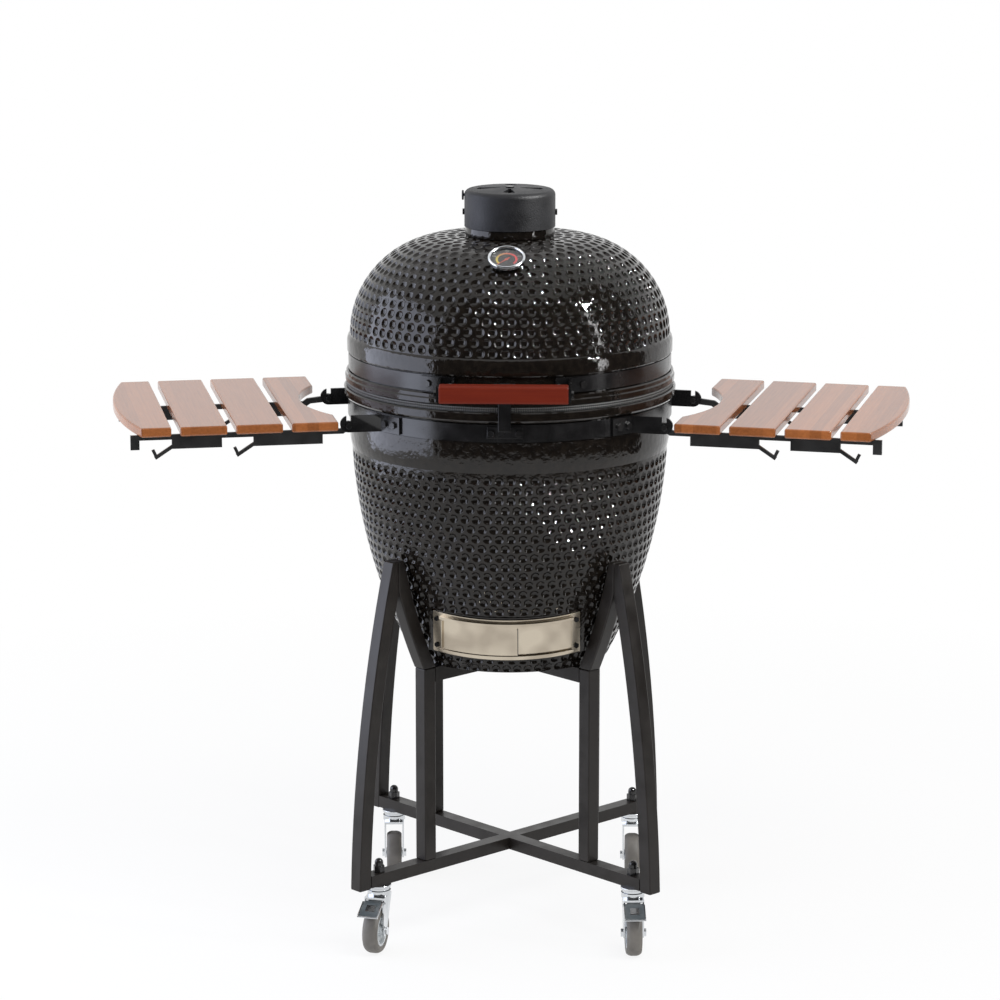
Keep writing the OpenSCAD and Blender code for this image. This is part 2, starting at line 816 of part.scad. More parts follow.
module vent_collar() {
    upstand_r = cap_in_r - seat_gap;
    color(cast_iron)
        rotate_extrude()
            polygon([
                [lid_hole_r - 10, crown_z - lid_wall - 4], [lid_hole_r - 2, crown_z - lid_wall - 4],
                [lid_hole_r - 2, collar_z], [cap_r - 2, collar_z], [cap_r - 1, collar_z + 3],
                [cap_r - 2, collar_top], [upstand_r, collar_top],
                [upstand_r, vent_screw_z + 10], [upstand_r - 6, vent_screw_z + 10],
                [upstand_r - 6, collar_top], [lid_hole_r - 10, collar_z]]);
}

module vent_cap() {
    slot_half = atan((tab_w / 2 + 1.5) / cap_in_r);
    color(cast_iron)
        difference() {
            rotate_extrude()
                polygon(concat(
                    [[cap_in_r, cap_z], [cap_r, cap_z]],
                    arc(cap_r - cap_round, cap_top - cap_round, cap_round, 0, 80, 8),
                    [[0, cap_top + cap_cone_h], [0, cap_top - cap_plate_t],
                     [cap_in_r, cap_top - cap_plate_t]]));
            vent_holes(cap_top - cap_plate_t - eps, cap_plate_t + cap_cone_h + 2 * eps);
            translate([0, 0, cap_z])
                cylinder(r = rivet_r, h = 2 * cap_h, $fn = 48);
            ring_part(cap_in_r - eps, cap_r + eps, damper_z - 1, damper_z + damper_t + 1,
                      180 - damper_turn - slot_half, 180 + slot_half);
        }
}

module vent_screws() {
    color("dimgray") {
        for (s = [-1, 1])
            translate([s * cap_r, 0, vent_screw_z])
                rotate([0, s * 90, 0])
                    bolt(3, cap_wall + 6, 5, 3);
        translate([0, 0, damper_z - 3])
            cylinder(r = rivet_r, h = cap_top + cap_cone_h - damper_z + 3, $fn = 48);
        translate([0, 0, damper_z - 3])
            cylinder(r = 8, h = 3 - seat_gap);
        translate([0, 0, cap_top + cap_cone_h])
            cylinder(r = 7, h = 1.5);
    }
}

// The damper's disc turns under the cap's top; its lever comes out through the cap's side.
module vent_damper() {
    tip_r = cap_r + 1;
    color(cast_iron)
        union() {
            difference() {
                translate([0, 0, damper_z])
                    cylinder(r = cap_in_r - 2, h = damper_t);
                vent_holes(damper_z - eps, damper_t + 2 * eps);
                translate([0, 0, damper_z - eps])
                    cylinder(r = rivet_r + run_gap, h = damper_t + 2 * eps, $fn = 48);
            }
            translate([-tip_r, -tab_w / 2, damper_z])
                cube([tip_r - cap_in_r + 8, tab_w, damper_t]);
            translate([-tip_r - 3, 0, damper_z + 1])
                rotate([0, 90, 0])
                    cylinder(r = 8, h = 3);
        }
}

// ---------------------------------------------------------------- draft frame and doors

plate_t = 2;
door_t = 1.2;
door_gap = 0.5;
doors_apart = 1.2;
frame_in = draft_r + seat_gap;
frame_out = frame_in + plate_t;
inner_door_r = frame_out + door_gap;
outer_door_r = inner_door_r + door_t + doors_apart;
rail_out = outer_door_r + door_t + door_gap + 1.5;
rail_z = draft_h / 2 - 6;
rail_lip = 3;
rail_short = 4.2;
draft_bolt_a = draft_half - 2.1;
draft_bolt_z = draft_h / 2 - 12;
door_edge = 29;
door_overlap = 5;

// The channel in which the doors' edges run, above the doors for s = 1 and below for s = -1.
module door_channel(s) {
    r0 = frame_in + plate_t / 2;
    t = 1.5;
    rotate([0, 0, rail_short - draft_half - 90])
        rotate_extrude(angle = 2 * (draft_half - rail_short))
            polygon([
                [r0, s * rail_z], [rail_out - t, s * rail_z],
                [rail_out - t, s * (rail_z - rail_lip)], [rail_out, s * (rail_z - rail_lip)],
                [rail_out, s * (rail_z + t)], [r0, s * (rail_z + t)]]);
}

module draft_frame() {
    color(bright_steel)
        in_draft_frame() {
            difference() {
                ring_part(frame_in, frame_out, -draft_h / 2, draft_h / 2,
                          -90 - draft_half, -90 + draft_half);
                ring_part(frame_in - eps, frame_out + eps,
                          -draft_mouth_h / 2, draft_mouth_h / 2,
                          -90 - draft_mouth_half, -90 + draft_mouth_half);
            }
            for (s = [-1, 1])
                door_channel(s);
        }
}

module draft_bolts() {
    color("dimgray")
        in_draft_frame()
            for (a = [-draft_bolt_a, draft_bolt_a])
                for (z = [-draft_bolt_z, draft_bolt_z])
                    rotate([0, 0, a - 90])
                        translate([frame_out, 0, z])
                            rotate([0, 90, 0])
                                bolt(2.5, plate_t, 4.5, 2.5);
}

// A curved door from a0 to a1 degrees from the front, with its upright pull at pull_a.
module draft_door(r, a0, a1, pull_a, pull_out) {
    color(bright_steel)
        in_draft_frame() {
            ring_part(r, r + door_t, -rail_z + 0.4, rail_z - 0.4, a0 - 90, a1 - 90);
            ring_part(r, r + pull_out, -rail_z + 5, rail_z - 5, pull_a - 90, pull_a - 89.6);
        }
}

module draft_door_outer() {
    draft_door(outer_door_r, -door_edge, door_overlap, -door_edge, 5);
}

module draft_door_inner() {
    draft_door(inner_door_r, -door_overlap, door_edge + 1, door_edge + 0.6, door_t + 0.6);
}

// ---------------------------------------------------------------- side shelves

pivot_z = base_band_mid - 3;
pivot_pin_r = 3;
board_u0 = 18;
board_v0 = -17;
board_z = shelf_top_z - board_t;
hollow_r = bowl_rim_r - 14;
hollow_v = 178;
rail_t = 6;
rail_bar_h = 8;
rail_z0 = board_z - rail_bar_h;
block_h = 15;
hook_w = 5;
rail_u1 = board_u0 + 4 * board_w + 3 * board_gap - 11;
arm_l = 90;
arm_t = 4;
rail_v = arm_t / 2 + 0.4;

// The right shelf's own frame: X runs outward along the rails and Y to the rear along the
// boards, from the front pivot. The left shelf is its mirror image.
module in_shelf(side) {
    mirror([side < 0 ? 1 : 0, 0, 0])
        translate([pivot_x, -pivot_y, 0])
            rotate([0, 0, -shelf_swing])
                children();
}

// Extrudes an outline in the shelf's upright XZ plane from y to y + t.
module upright(y, t) {
    translate([0, y + t, 0])
        rotate([90, 0, 0])
            linear_extrude(t)
                children();
}

// An arm from inside the band out to a pivot, on which the rail at v turns.
module shelf_arm(v) {
    upright(v - arm_t / 2, arm_t)
        difference() {
            union() {
                translate([-arm_l, base_band_mid - arm_h / 2])
                    square([arm_l, arm_h]);
                translate([0, base_band_mid])
                    circle(r = arm_h / 2);
            }
            translate([-3.5, base_band_mid + arm_h / 2 - 9])
                square([7, 10]);
            translate([0, pivot_z])
                circle(r = pivot_pin_r, $fn = 48);
        }
}

module shelf_brackets() {
    color(black_steel)
        for (s = [-1, 1]) {
            for (a = [front_foot_a, rear_foot_a])
                band_foot(base_band_r, s * a, shelf_foot_half, base_band_mid, arm_h, foot_t);
            difference() {
                in_shelf(s) {
                    shelf_arm(0);
                    shelf_arm(rail_pitch);
                }
                translate([0, 0, base_band_z - 20])
                    cylinder(r = base_band_r + seat_gap + foot_t / 2, h = base_band_h + 40);
            }
        }
}

module shelf_pivot_pins() {
    color("dimgray")
        for (s = [-1, 1])
            in_shelf(s)
                for (v = [0, rail_pitch]) {
                    upright(v - arm_t / 2 - 1.5, arm_t + rail_t + 3.8)
                        translate([0, pivot_z])
                            circle(r = pivot_pin_r, $fn = 48);
                    upright(v - arm_t / 2 - 3, 3)
                        translate([0, pivot_z])
                            circle(r = 5);
                    upright(v + rail_v + rail_t + 0.4, 3)
                        translate([0, pivot_z])
                            circle(r = 5);
                }
}

// A tool hook: a strip that runs out and down from (u, z) and turns up at its end.
module hook_outline(u, z) {
    translate([u, z])
        rotate(-33) {
            translate([-4, -hook_w / 2])
                square([36, hook_w]);
            translate([32 - hook_w, -hook_w / 2])
                rotate(8)
                    square([hook_w, 15]);
        }
}

module rail_outline(crank_u) {
    block_z = rail_z0 - block_h;
    difference() {
        union() {
            translate([0, pivot_z])
                circle(r = 7);
            polygon([
                [0, pivot_z + 4], [0, pivot_z - 6], [crank_u, pivot_z - 8.5],
                [crank_u + 7, rail_z0], [rail_u1, rail_z0], [rail_u1, board_z],
                [crank_u + 12, board_z], [crank_u + 5, pivot_z]]);
            translate([41, block_z])
                square([110, block_h + 2]);
            translate([201, block_z])
                square([79, block_h + 2]);
            translate([rail_u1 - 14, block_z])
                square([14, block_h + 2]);
            hook_outline(151, block_z + 3);
            hook_outline(280, block_z + 3);
        }
        translate([0, pivot_z])
            circle(r = pivot_pin_r + run_gap, $fn = 48);
    }
}

module shelf_rails(side) {
    color(black_steel)
        in_shelf(side)
            for (v = [0, rail_pitch]) {
                upright(v + rail_v, rail_t)
                    rail_outline(v == 0 ? 1 : 30);
                for (k = [0:3])
                    translate([board_u0 + board_w / 2 + k * (board_w + board_gap),
                               v + rail_v + rail_t / 2, rail_z0 + 2])
                        cylinder(r = 2, h = rail_bar_h + 6, $fn = 24);
            }
}

module shelf_boards(side) {
    w = 4 * board_w + 3 * board_gap;
    mid = board_v0 + board_l / 2;
    edge_r = 820;
    color(bamboo)
        in_shelf(side)
            translate([0, 0, board_z])
                for (k = [0:3])
                    intersection() {
                        translate([board_u0 + k * (board_w + board_gap), board_v0, 0])
                            cube([board_w, board_l, board_t]);
                        if (k == 0)
                            difference() {
                                translate([0, board_v0 - eps, -eps])
                                    cube([w, board_l + 2 * eps, board_t + 2 * eps]);
                                translate([board_u0 + hollow_d - hollow_r, hollow_v, -2 * eps])
                                    cylinder(r = hollow_r, h = board_t + 4 * eps);
                            }
                        else
                            translate([board_u0 + w - edge_r, mid, -eps])
                                cylinder(r = edge_r, h = board_t + 2 * eps, $fn = 360);
                    }
}

// ---------------------------------------------------------------- stand

half_tube = tube / 2;
post_r = bowl_side(cradle_z, bowl_curve_r) + post_room + half_tube;
leg_foot_z = bar_top_z - bar_h - 2;
brace_in_top_r = bowl_side(leg_top_z, bowl_curve_r) + brace_room;
brace_curve_r = bowl_curve_r + 50;
leg_top_r = brace_in_top_r + half_tube - 1;
seam_r = leg_top_r + 0.5;

// Centre of the circle of radius r that rises from p to q, bulging away from the axis.
function rise_centre(p, q, r) =
    let (d = q - p, l = norm(d))
    (p + q) / 2 + sqrt(r * r - l * l / 4) * [-d[1], d[0]] / l;

leg_centre = rise_centre([leg_foot_r, leg_foot_z], [leg_top_r, leg_top_z], leg_curve_r);
leg_axis_r = leg_centre[0];
leg_axis_z = leg_centre[1];
leg_foot_a = asin((leg_foot_z - leg_axis_z) / leg_curve_r);
leg_top_a = asin((leg_top_z - leg_axis_z) / leg_curve_r);
brace_centre = rise_centre([post_r - half_tube - 1.5, cradle_z], [brace_in_top_r, leg_top_z],
                           brace_curve_r);
brace_axis_r = brace_centre[0];
brace_axis_z = brace_centre[1];
brace_top_a = asin((brace_axis_z - leg_top_z) / brace_curve_r);
brace_foot_a = asin((brace_axis_z - cradle_z) / brace_curve_r);

// A square tube bent to a curve in the upright XZ plane, from a0 to a1 degrees above level,
// with its inner face on the radius r about (x, z).
module bent_tube(x, z, r, a0, a1) {
    translate([x, 0, z])
        rotate([90, 0, 0])
            rotate([0, 0, a0])
                rotate_extrude(angle = a1 - a0, $fn = 720)
                    translate([r, -half_tube])
                        square([tube, tube]);
}

// Outside, the legs end level with the floor, the tops, and a seam shared with the braces.
module outer_legs() {
    seam_z = leg_top_z - 60;
    color(black_steel)
        at_corners()
            difference() {
                bent_tube(leg_axis_r, leg_axis_z, leg_curve_r - half_tube, leg_foot_a - 1,
                          leg_top_a + 1);
                translate([leg_foot_r - 2 * tube, -tube, leg_foot_z - 4 * tube])
                    cube([4 * tube, 2 * tube, 4 * tube]);
                translate([leg_top_r - 3 * tube, -tube, leg_top_z])
                    cube([6 * tube, 2 * tube, 4 * tube]);
                translate([seam_r - 4 * tube, -tube, seam_z])
                    cube([4 * tube, 2 * tube, 4 * tube]);
            }
}

module leg_braces() {
    color(black_steel)
        at_corners()
            difference() {
                bent_tube(brace_axis_r, brace_axis_z, brace_curve_r, -brace_foot_a - 3,
                          2 - brace_top_a);
                translate([post_r - 4 * tube, -tube, cradle_z - 4 * tube])
                    cube([8 * tube, 2 * tube, 4 * tube]);
                translate([leg_top_r - 3 * tube, -tube, leg_top_z])
                    cube([6 * tube, 2 * tube, 4 * tube]);
                translate([seam_r, -tube, cradle_z])
                    cube([4 * tube, 2 * tube, 2 * leg_top_z]);
            }
}

module inner_posts() {
    color(black_steel)
        at_corners()
            translate([post_r - half_tube, -half_tube, bar_top_z])
                cube([tube, tube, cradle_z - bar_top_z]);
}

// Inner end of the legs, at the height of the lower crossbars' top.
bar_end_r = leg_axis_r + (leg_curve_r - half_tube)
            * cos(asin((bar_top_z - leg_axis_z) / leg_curve_r)) - 0.1;
cradle_bar_z = cradle_z - tube;
cradle_end_r = post_r - half_tube;
stem_pin_r = 5;

// One bar along X from x0 to x1 with its top at z.
module crossbar(x0, x1, z, h) {
    translate([x0, -half_tube, z - h])
        cube([x1 - x0, tube, h]);
}

module stem_hole(x) {
    translate([x, 0, bar_top_z - bar_h - eps])
        cylinder(r = stem_pin_r + run_gap, h = bar_h + 2 * eps, $fn = 48);
}

module long_crossbars() {
    color(black_steel)
        rotate([0, 0, 45]) {
            difference() {
                crossbar(-bar_end_r, bar_end_r, bar_top_z, bar_h);
                for (x = [-stem_r, stem_r])
                    stem_hole(x);
            }
            crossbar(-cradle_end_r, cradle_end_r, cradle_z, tube);
        }
}

module half_crossbars() {
    color(black_steel)
        for (a = [135, 315])
            rotate([0, 0, a]) {
                difference() {
                    crossbar(half_tube, bar_end_r, bar_top_z, bar_h);
                    stem_hole(stem_r);
                }
                crossbar(half_tube, cradle_end_r, cradle_z, tube);
            }
}

// ---------------------------------------------------------------- casters

stem_r = leg_foot_r - stem_in;
race_z = bar_top_z - bar_h;
race_h = 9;
fork_top = race_z - race_h - seat_gap;
crown_h = 8;
fork_gap = wheel_w / 2 + 1.6;
fork_t = 2.5;
axle_r = 4;
hub_r = 26;
pedal_pin_r = 2.3;
pedal_pin_y = -trail;
pedal_pin_z = fork_top - crown_h - 9;
stem_angles = [225, 315, 135, 45];

// Places its children at the stem of caster i, with the wheel behind it along -Y.
module at_caster(i) {
    translate([stem_r * cos(stem_angles[i]), stem_r * sin(stem_angles[i]), 0])
        rotate([0, 0, caster_turn[i]])
            children();
}

module caster_stems() {
    color(bright_steel)
        for (i = [0:3])
            at_caster(i) {
                translate([0, 0, race_z - race_h])
                    cylinder(r = 17, h = race_h - 4);
                translate([0, 0, race_z - 4])
                    cylinder(r = 20, h = 4);
                translate([0, 0, fork_top - crown_h])
                    cylinder(r = stem_pin_r, h = bar_top_z - fork_top + crown_h + 14, $fn = 48);
            }
}

module caster_nuts() {
    nut_h = 11;
    color("dimgray")
        for (i = [0:3])
            at_caster(i)
                difference() {
                    union() {
                        translate([0, 0, bar_top_z])
                            cylinder(r = 9.5, h = nut_h, $fn = 6);
                        translate([0, 0, bar_top_z + nut_h])
                            cylinder(r = 7, h = 5);
                        translate([0, 0, bar_top_z + nut_h + 5])
                            sphere(r = 7);
                    }
                    translate([0, 0, bar_top_z - eps])
                        cylinder(r = stem_pin_r + run_gap, h = 16, $fn = 48);
                }
}

// A fork with two cheeks and the axle that it clamps, and a cross pin if it has a brake.
module caster_fork(i, has_brake) {
    color(chrome)
        at_caster(i) {
            difference() {
                union() {
                    translate([0, 0, fork_top - crown_h])
                        cylinder(r = 19, h = crown_h);
                    translate([-fork_gap - fork_t, -trail - 6, fork_top - crown_h - 3])
                        cube([2 * (fork_gap + fork_t), trail + 20, 4]);
                    for (x = [-fork_gap - fork_t, fork_gap])
                        translate([x, 0, 0])
                            rotate([90, 0, 90])
                                linear_extrude(fork_t)
                                    union() {
                                        polygon([
                                            [-trail - 9, wheel_r], [-trail + 9, wheel_r - 2],
                                            [14, fork_top - crown_h - 2],
                                            [14, fork_top - crown_h],
                                            [-trail - 6, fork_top - crown_h]]);
                                        translate([-trail, wheel_r])
                                            circle(r = 9);
                                    }
                }
                translate([0, 0, fork_top - crown_h - 4])
                    cylinder(r = stem_pin_r + run_gap, h = crown_h + 5, $fn = 48);
            }
            translate([-fork_gap - fork_t - 4, -trail, wheel_r])
                rotate([0, 90, 0]) {
                    cylinder(r = axle_r, h = 2 * (fork_gap + fork_t + 4), $fn = 48);
                    cylinder(r = 7, h = 4, $fn = 6);
                    translate([0, 0, 2 * (fork_gap + fork_t) + 4])
                        cylinder(r = 7, h = 4, $fn = 6);
                }
            if (has_brake)
                translate([-fork_gap - fork_t - 1, pedal_pin_y, pedal_pin_z])
                    rotate([0, 90, 0])
                        cylinder(r = pedal_pin_r, h = 2 * (fork_gap + fork_t + 1), $fn = 48);
        }
}

// Turns a solid of revolution about Z into one about the axle of caster i.
module on_axle(i) {
    at_caster(i)
        translate([0, -trail, wheel_r])
            rotate([0, 90, 0])
                children();
}

module wheel_hub(i) {
    color("silver")
        on_axle(i)
            rotate_extrude()
                polygon([
                    [axle_r + run_gap, -wheel_w / 2 - 1], [9, -wheel_w / 2 - 1],
                    [10, -5], [21, -5], [22, -wheel_w / 2 + 1], [hub_r, -wheel_w / 2 + 1],
                    [hub_r, wheel_w / 2 - 1], [22, wheel_w / 2 - 1], [21, 5], [10, 5],
                    [9, wheel_w / 2 + 1], [axle_r + run_gap, wheel_w / 2 + 1]]);
}

module wheel_tyre(i) {
    c = 4;
    color("gray")
        on_axle(i)
            rotate_extrude()
                polygon([
                    [hub_r, -wheel_w / 2 + 1], [hub_r + 4, -wheel_w / 2],
                    [wheel_r - c, -wheel_w / 2], [wheel_r - 1, -wheel_w / 2 + c],
                    [wheel_r, -wheel_w / 2 + 2 * c], [wheel_r, wheel_w / 2 - 2 * c],
                    [wheel_r - 1, wheel_w / 2 - c], [wheel_r - c, wheel_w / 2],
                    [hub_r + 4, wheel_w / 2], [hub_r, wheel_w / 2 - 1]]);
}

// The foot pedal of a front caster's brake: a tongue on the fork's cross pin, and a plate that
// slopes down in front of the wheel.
module brake_pedal(i) {
    tongue_w = 2 * fork_gap - 2;
    plate_w = 34;
    y = pedal_pin_y;
    z = pedal_pin_z;
    color(chrome)
        at_caster(i)
            difference() {
                union() {
                    translate([-tongue_w / 2, 0, 0])
                        rotate([90, 0, 90])
                            linear_extrude(tongue_w)
                                union() {
                                    translate([y, z])
                                        circle(r = pedal_pin_r + 2.2, $fn = 48);
                                    polygon([[y, z - 4], [y - 12, z + 0.5], [y - 12, z + 4.2],
                                             [y, z + 4.2]]);
                                }
                    translate([-plate_w / 2, 0, 0])
                        rotate([90, 0, 90])
                            linear_extrude(plate_w)
                                polygon([
                                    [y - 10, z + 0.5], [y - 10, z + 4.2], [y - 22, z],
                                    [y - 34, z - 10], [y - 42, z - 24], [y - 46, z - 26],
                                    [y - 45, z - 29], [y - 40, z - 27], [y - 32, z - 13],
                                    [y - 21, z - 3]]);
                }
                translate([-plate_w, y, z])
                    rotate([0, 90, 0])
                        cylinder(r = pedal_pin_r + run_gap, h = 2 * plate_w, $fn = 48);
            }
}

module shelf_left_boards() { shelf_boards(-1); }
module shelf_right_boards() { shelf_boards(1); }
module shelf_left_rails() { shelf_rails(-1); }
module shelf_right_rails() { shelf_rails(1); }

base_shell();
base_seal();
base_band();
base_band_bolts();
firebox();
fire_ring();
charcoal_grate();
cooking_grid();
latch_plate();
shelf_brackets();
shelf_pivot_pins();
draft_frame();
draft_bolts();
draft_door_outer();
draft_door_inner();
hinge_base_bracket();
hinge_pin();
hinge_springs();
hinge_lid_bracket();
lid_shell();
lid_seal();
lid_band();
lid_band_bolts();
handle_bar();
handle_brackets();
latch_arm();
thermometer_case();
thermometer_dial();
thermometer_pointer();
thermometer_lens();
thermometer_stem();
vent_collar();
vent_cap();
vent_screws();
vent_damper();
shelf_left_boards();
shelf_left_rails();
shelf_right_boards();
shelf_right_rails();
outer_legs();
inner_posts();
leg_braces();
long_crossbars();
half_crossbars();
caster_stems();
caster_nuts();
caster_fork(0, true);  // caster_fork_fl
caster_fork(1, true);  // caster_fork_fr
caster_fork(2, false);  // caster_fork_rl
caster_fork(3, false);  // caster_fork_rr
wheel_hub(0);  // wheel_hub_fl
wheel_hub(1);  // wheel_hub_fr
wheel_hub(2);  // wheel_hub_rl
wheel_hub(3);  // wheel_hub_rr
wheel_tyre(0);  // wheel_tyre_fl
wheel_tyre(1);  // wheel_tyre_fr
wheel_tyre(2);  // wheel_tyre_rl
wheel_tyre(3);  // wheel_tyre_rr
brake_pedal(0);  // brake_pedal_fl
brake_pedal(1);  // brake_pedal_fr
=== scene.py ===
import json
import math

import bmesh
import bpy
import numpy as np
from mathutils import Matrix, Vector


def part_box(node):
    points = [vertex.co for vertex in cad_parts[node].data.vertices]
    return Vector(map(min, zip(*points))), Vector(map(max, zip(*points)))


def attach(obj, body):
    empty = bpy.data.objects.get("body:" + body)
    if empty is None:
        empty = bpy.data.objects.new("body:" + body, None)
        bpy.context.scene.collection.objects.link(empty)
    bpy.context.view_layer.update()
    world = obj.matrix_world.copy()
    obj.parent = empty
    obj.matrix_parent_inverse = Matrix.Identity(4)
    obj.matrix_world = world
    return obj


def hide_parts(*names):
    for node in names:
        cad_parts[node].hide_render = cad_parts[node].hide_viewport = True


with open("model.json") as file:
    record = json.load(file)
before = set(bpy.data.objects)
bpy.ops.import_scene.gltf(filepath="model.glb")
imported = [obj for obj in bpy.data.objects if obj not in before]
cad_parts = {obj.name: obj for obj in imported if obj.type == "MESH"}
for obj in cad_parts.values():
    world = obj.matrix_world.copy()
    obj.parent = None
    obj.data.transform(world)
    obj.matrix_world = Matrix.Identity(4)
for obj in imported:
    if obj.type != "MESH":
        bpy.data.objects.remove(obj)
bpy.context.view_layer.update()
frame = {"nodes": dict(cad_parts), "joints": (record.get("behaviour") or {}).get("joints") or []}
nodes = frame["nodes"]

# ---------------------------------------------------------------------------------------------
# Welded stand: four bowed outer legs, four inner posts, four curved braces and two crosses of
# 24 mm square steel tube, welded together and powder-coated black. The tube's corners are
# rounded, and the coat has a fine orange peel.


def put(tree, kind, settings=None, **inputs):
    """Adds a shader node. An input's value is a plain value, or an output to link."""
    node = tree.nodes.new("ShaderNode" + kind)
    for name, value in (settings or {}).items():
        setattr(node, name, value)
    for name, value in inputs.items():
        feed(tree, node.inputs[name.replace("_", " ")], value)
    return node


def feed(tree, socket, value):
    if isinstance(value, bpy.types.NodeSocket):
        tree.links.new(value, socket)
    else:
        socket.default_value = value


def calc(tree, operation, *values):
    node = tree.nodes.new("ShaderNodeMath")
    node.operation = operation
    for socket, value in zip(node.inputs, values):
        feed(tree, socket, value)
    return node.outputs[0]


def blend_colours(tree, factor, a, b):
    node = tree.nodes.new("ShaderNodeMix")
    node.data_type = "RGBA"
    feed(tree, node.inputs[0], factor)
    feed(tree, node.inputs[6], a)
    feed(tree, node.inputs[7], b)
    return node.outputs[2]


def remap(tree, value, low, high, to_low, to_high):
    node = tree.nodes.new("ShaderNodeMapRange")
    for socket, v in zip(node.inputs, (value, low, high, to_low, to_high)):
        feed(tree, socket, v)
    return node.outputs[0]


def effect(name, inputs, outputs):
    """Starts a node group, whose sockets are pairs of a name and a kind, or a value."""
    tree = bpy.data.node_groups.new(name, "ShaderNodeTree")
    for label, value in inputs.items():
        kind = "NodeSocketColor" if isinstance(value, tuple) else "NodeSocketFloat"
        socket = tree.interface.new_socket(label, in_out="INPUT", socket_type=kind)
        socket.default_value = value
    for label, kind in outputs.items():
        tree.interface.new_socket(label, in_out="OUTPUT", socket_type="NodeSocket" + kind)
    return tree, tree.nodes.new("NodeGroupInput"), tree.nodes.new("NodeGroupOutput")


def use(tree, group, **inputs):
    """Places a node group in a material and returns its outputs."""
    node = tree.nodes.new("ShaderNodeGroup")
    node.node_tree = group
    for name, value in inputs.items():
        feed(tree, node.inputs[name.replace("_", " ")], value)
    return node.outputs


def new_material(name, **sockets):
    """A material with a Principled BSDF, whose named sockets get plain values."""
    material = bpy.data.materials.new(name)
    material.use_nodes = True
    shader = material.node_tree.nodes["Principled BSDF"]
    for label, value in sockets.items():
        shader.inputs[label.replace("_", " ")].default_value = value
    return material, material.node_tree, shader


def relief(tree, shader, height, distance):
    """Bumps a material's surface by a height map, over a distance in metres."""
    bump = put(tree, "Bump", Height=height, Distance=distance, Strength=1.0)
    tree.links.new(bump.outputs[0], shader.inputs["Normal"])


# Grain: a fine and a coarse noise over a surface, for coats, castings and glazes.
grain, gin, gout = effect(
    "grain",
    {"Fine scale": 900.0, "Coarse scale": 60.0, "Coarse share": 0.3},
    {"Height": "Float", "Cloud": "Float"},
)
where = put(grain, "TexCoord").outputs["Object"]
fine = put(grain, "TexNoise", Vector=where, Scale=gin.outputs[0], Detail=3.0, Roughness=0.6)
coarse = put(grain, "TexNoise", Vector=where, Scale=gin.outputs[1], Detail=4.0, Roughness=0.45)
grain.links.new(
    calc(grain, "ADD",
         calc(grain, "MULTIPLY", fine.outputs[0], calc(grain, "SUBTRACT", 1.0, gin.outputs[2])),
         calc(grain, "MULTIPLY", coarse.outputs[0], gin.outputs[2])),
    gout.inputs[0],
)
grain.links.new(coarse.outputs[0], gout.inputs[1])


def coated_steel(name, colour, light, rough, peel, fine=1300.0, gloss=1.5):
    """Painted or coated steel: a colour that varies a little, and an orange-peel surface."""
    material, tree, shader = new_material(name, IOR=gloss)
    out = use(tree, grain, Fine_scale=fine, Coarse_scale=35.0, Coarse_share=0.25)
    cloud = remap(tree, out["Cloud"], 0.35, 0.65, 0.0, 1.0)
    tree.links.new(blend_colours(tree, cloud, colour, light), shader.inputs["Base Color"])
    tree.links.new(remap(tree, out["Cloud"], 0.3, 0.7, rough - 0.06, rough + 0.08),
                   shader.inputs["Roughness"])
    relief(tree, shader, out["Height"], peel)
    return material


def soften(mesh, angle):
    """Smooth shading, except over edges that turn by more than angle degrees."""
    bm = bmesh.new()
    bm.from_mesh(mesh)
    for face in bm.faces:
        face.smooth = True
    for edge in bm.edges:
        edge.smooth = edge.is_manifold and edge.calc_face_angle(math.pi) < math.radians(angle)
    bm.to_mesh(mesh)
    bm.free()


def piece(name, mesh, material, body, slot, *stands_for):
    """Puts a mesh in the scene as a piece that rides on a body."""
    obj = bpy.data.objects.new(name, mesh)
    bpy.context.scene.collection.objects.link(obj)
    mesh.materials.clear()
    mesh.materials.append(material)
    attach(obj, body)
    if stands_for:
        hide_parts(*stands_for)
    return obj


def clean_copy(node):
    """A copy of a solid's mesh with its doubled corners joined and its flat faces whole."""
    bm = bmesh.new()
    bm.from_mesh(nodes[node].data)
    bmesh.ops.remove_doubles(bm, verts=bm.verts, dist=2e-6)
    bmesh.ops.dissolve_limit(bm, angle_limit=math.radians(0.6), verts=bm.verts, edges=bm.edges)
    mesh = bpy.data.meshes.new(node + "_finished")
    bm.to_mesh(mesh)
    bm.free()
    return mesh


def rounded(node, name, material, body, slot, radius, steps=2, angle=35.0):
    """Stands for a solid with its own form, its sharp edges rounded."""
    obj = piece(name, clean_copy(node), material, body, slot, node)
    bevel = obj.modifiers.new("rounding", "BEVEL")
    bevel.width = radius
    bevel.segments = steps
    bevel.limit_method = "ANGLE"
    bevel.angle_limit = math.radians(angle)
    bevel.use_clamp_overlap = True
    bevel.harden_normals = True
    soften(obj.data, angle)
    return obj


stand_coat = coated_steel("stand_coat", (0.0130, 0.0106, 0.0090, 1), (0.0190, 0.0158, 0.0136, 1),
                          0.36, 0.00006, gloss=1.36)
for node in ("outer_legs", "inner_posts", "leg_braces", "long_crossbars", "half_crossbars"):
    rounded(node, node + "_tube", stand_coat, "grill_base", "stand_steel", 0.0022)

# ---------------------------------------------------------------------------------------------
# Casters: zinc-plated swivel races and forks, cast acorn nuts, moulded grey hubs with a grey
# rubber tread, and on the front pair a plated brake pedal.

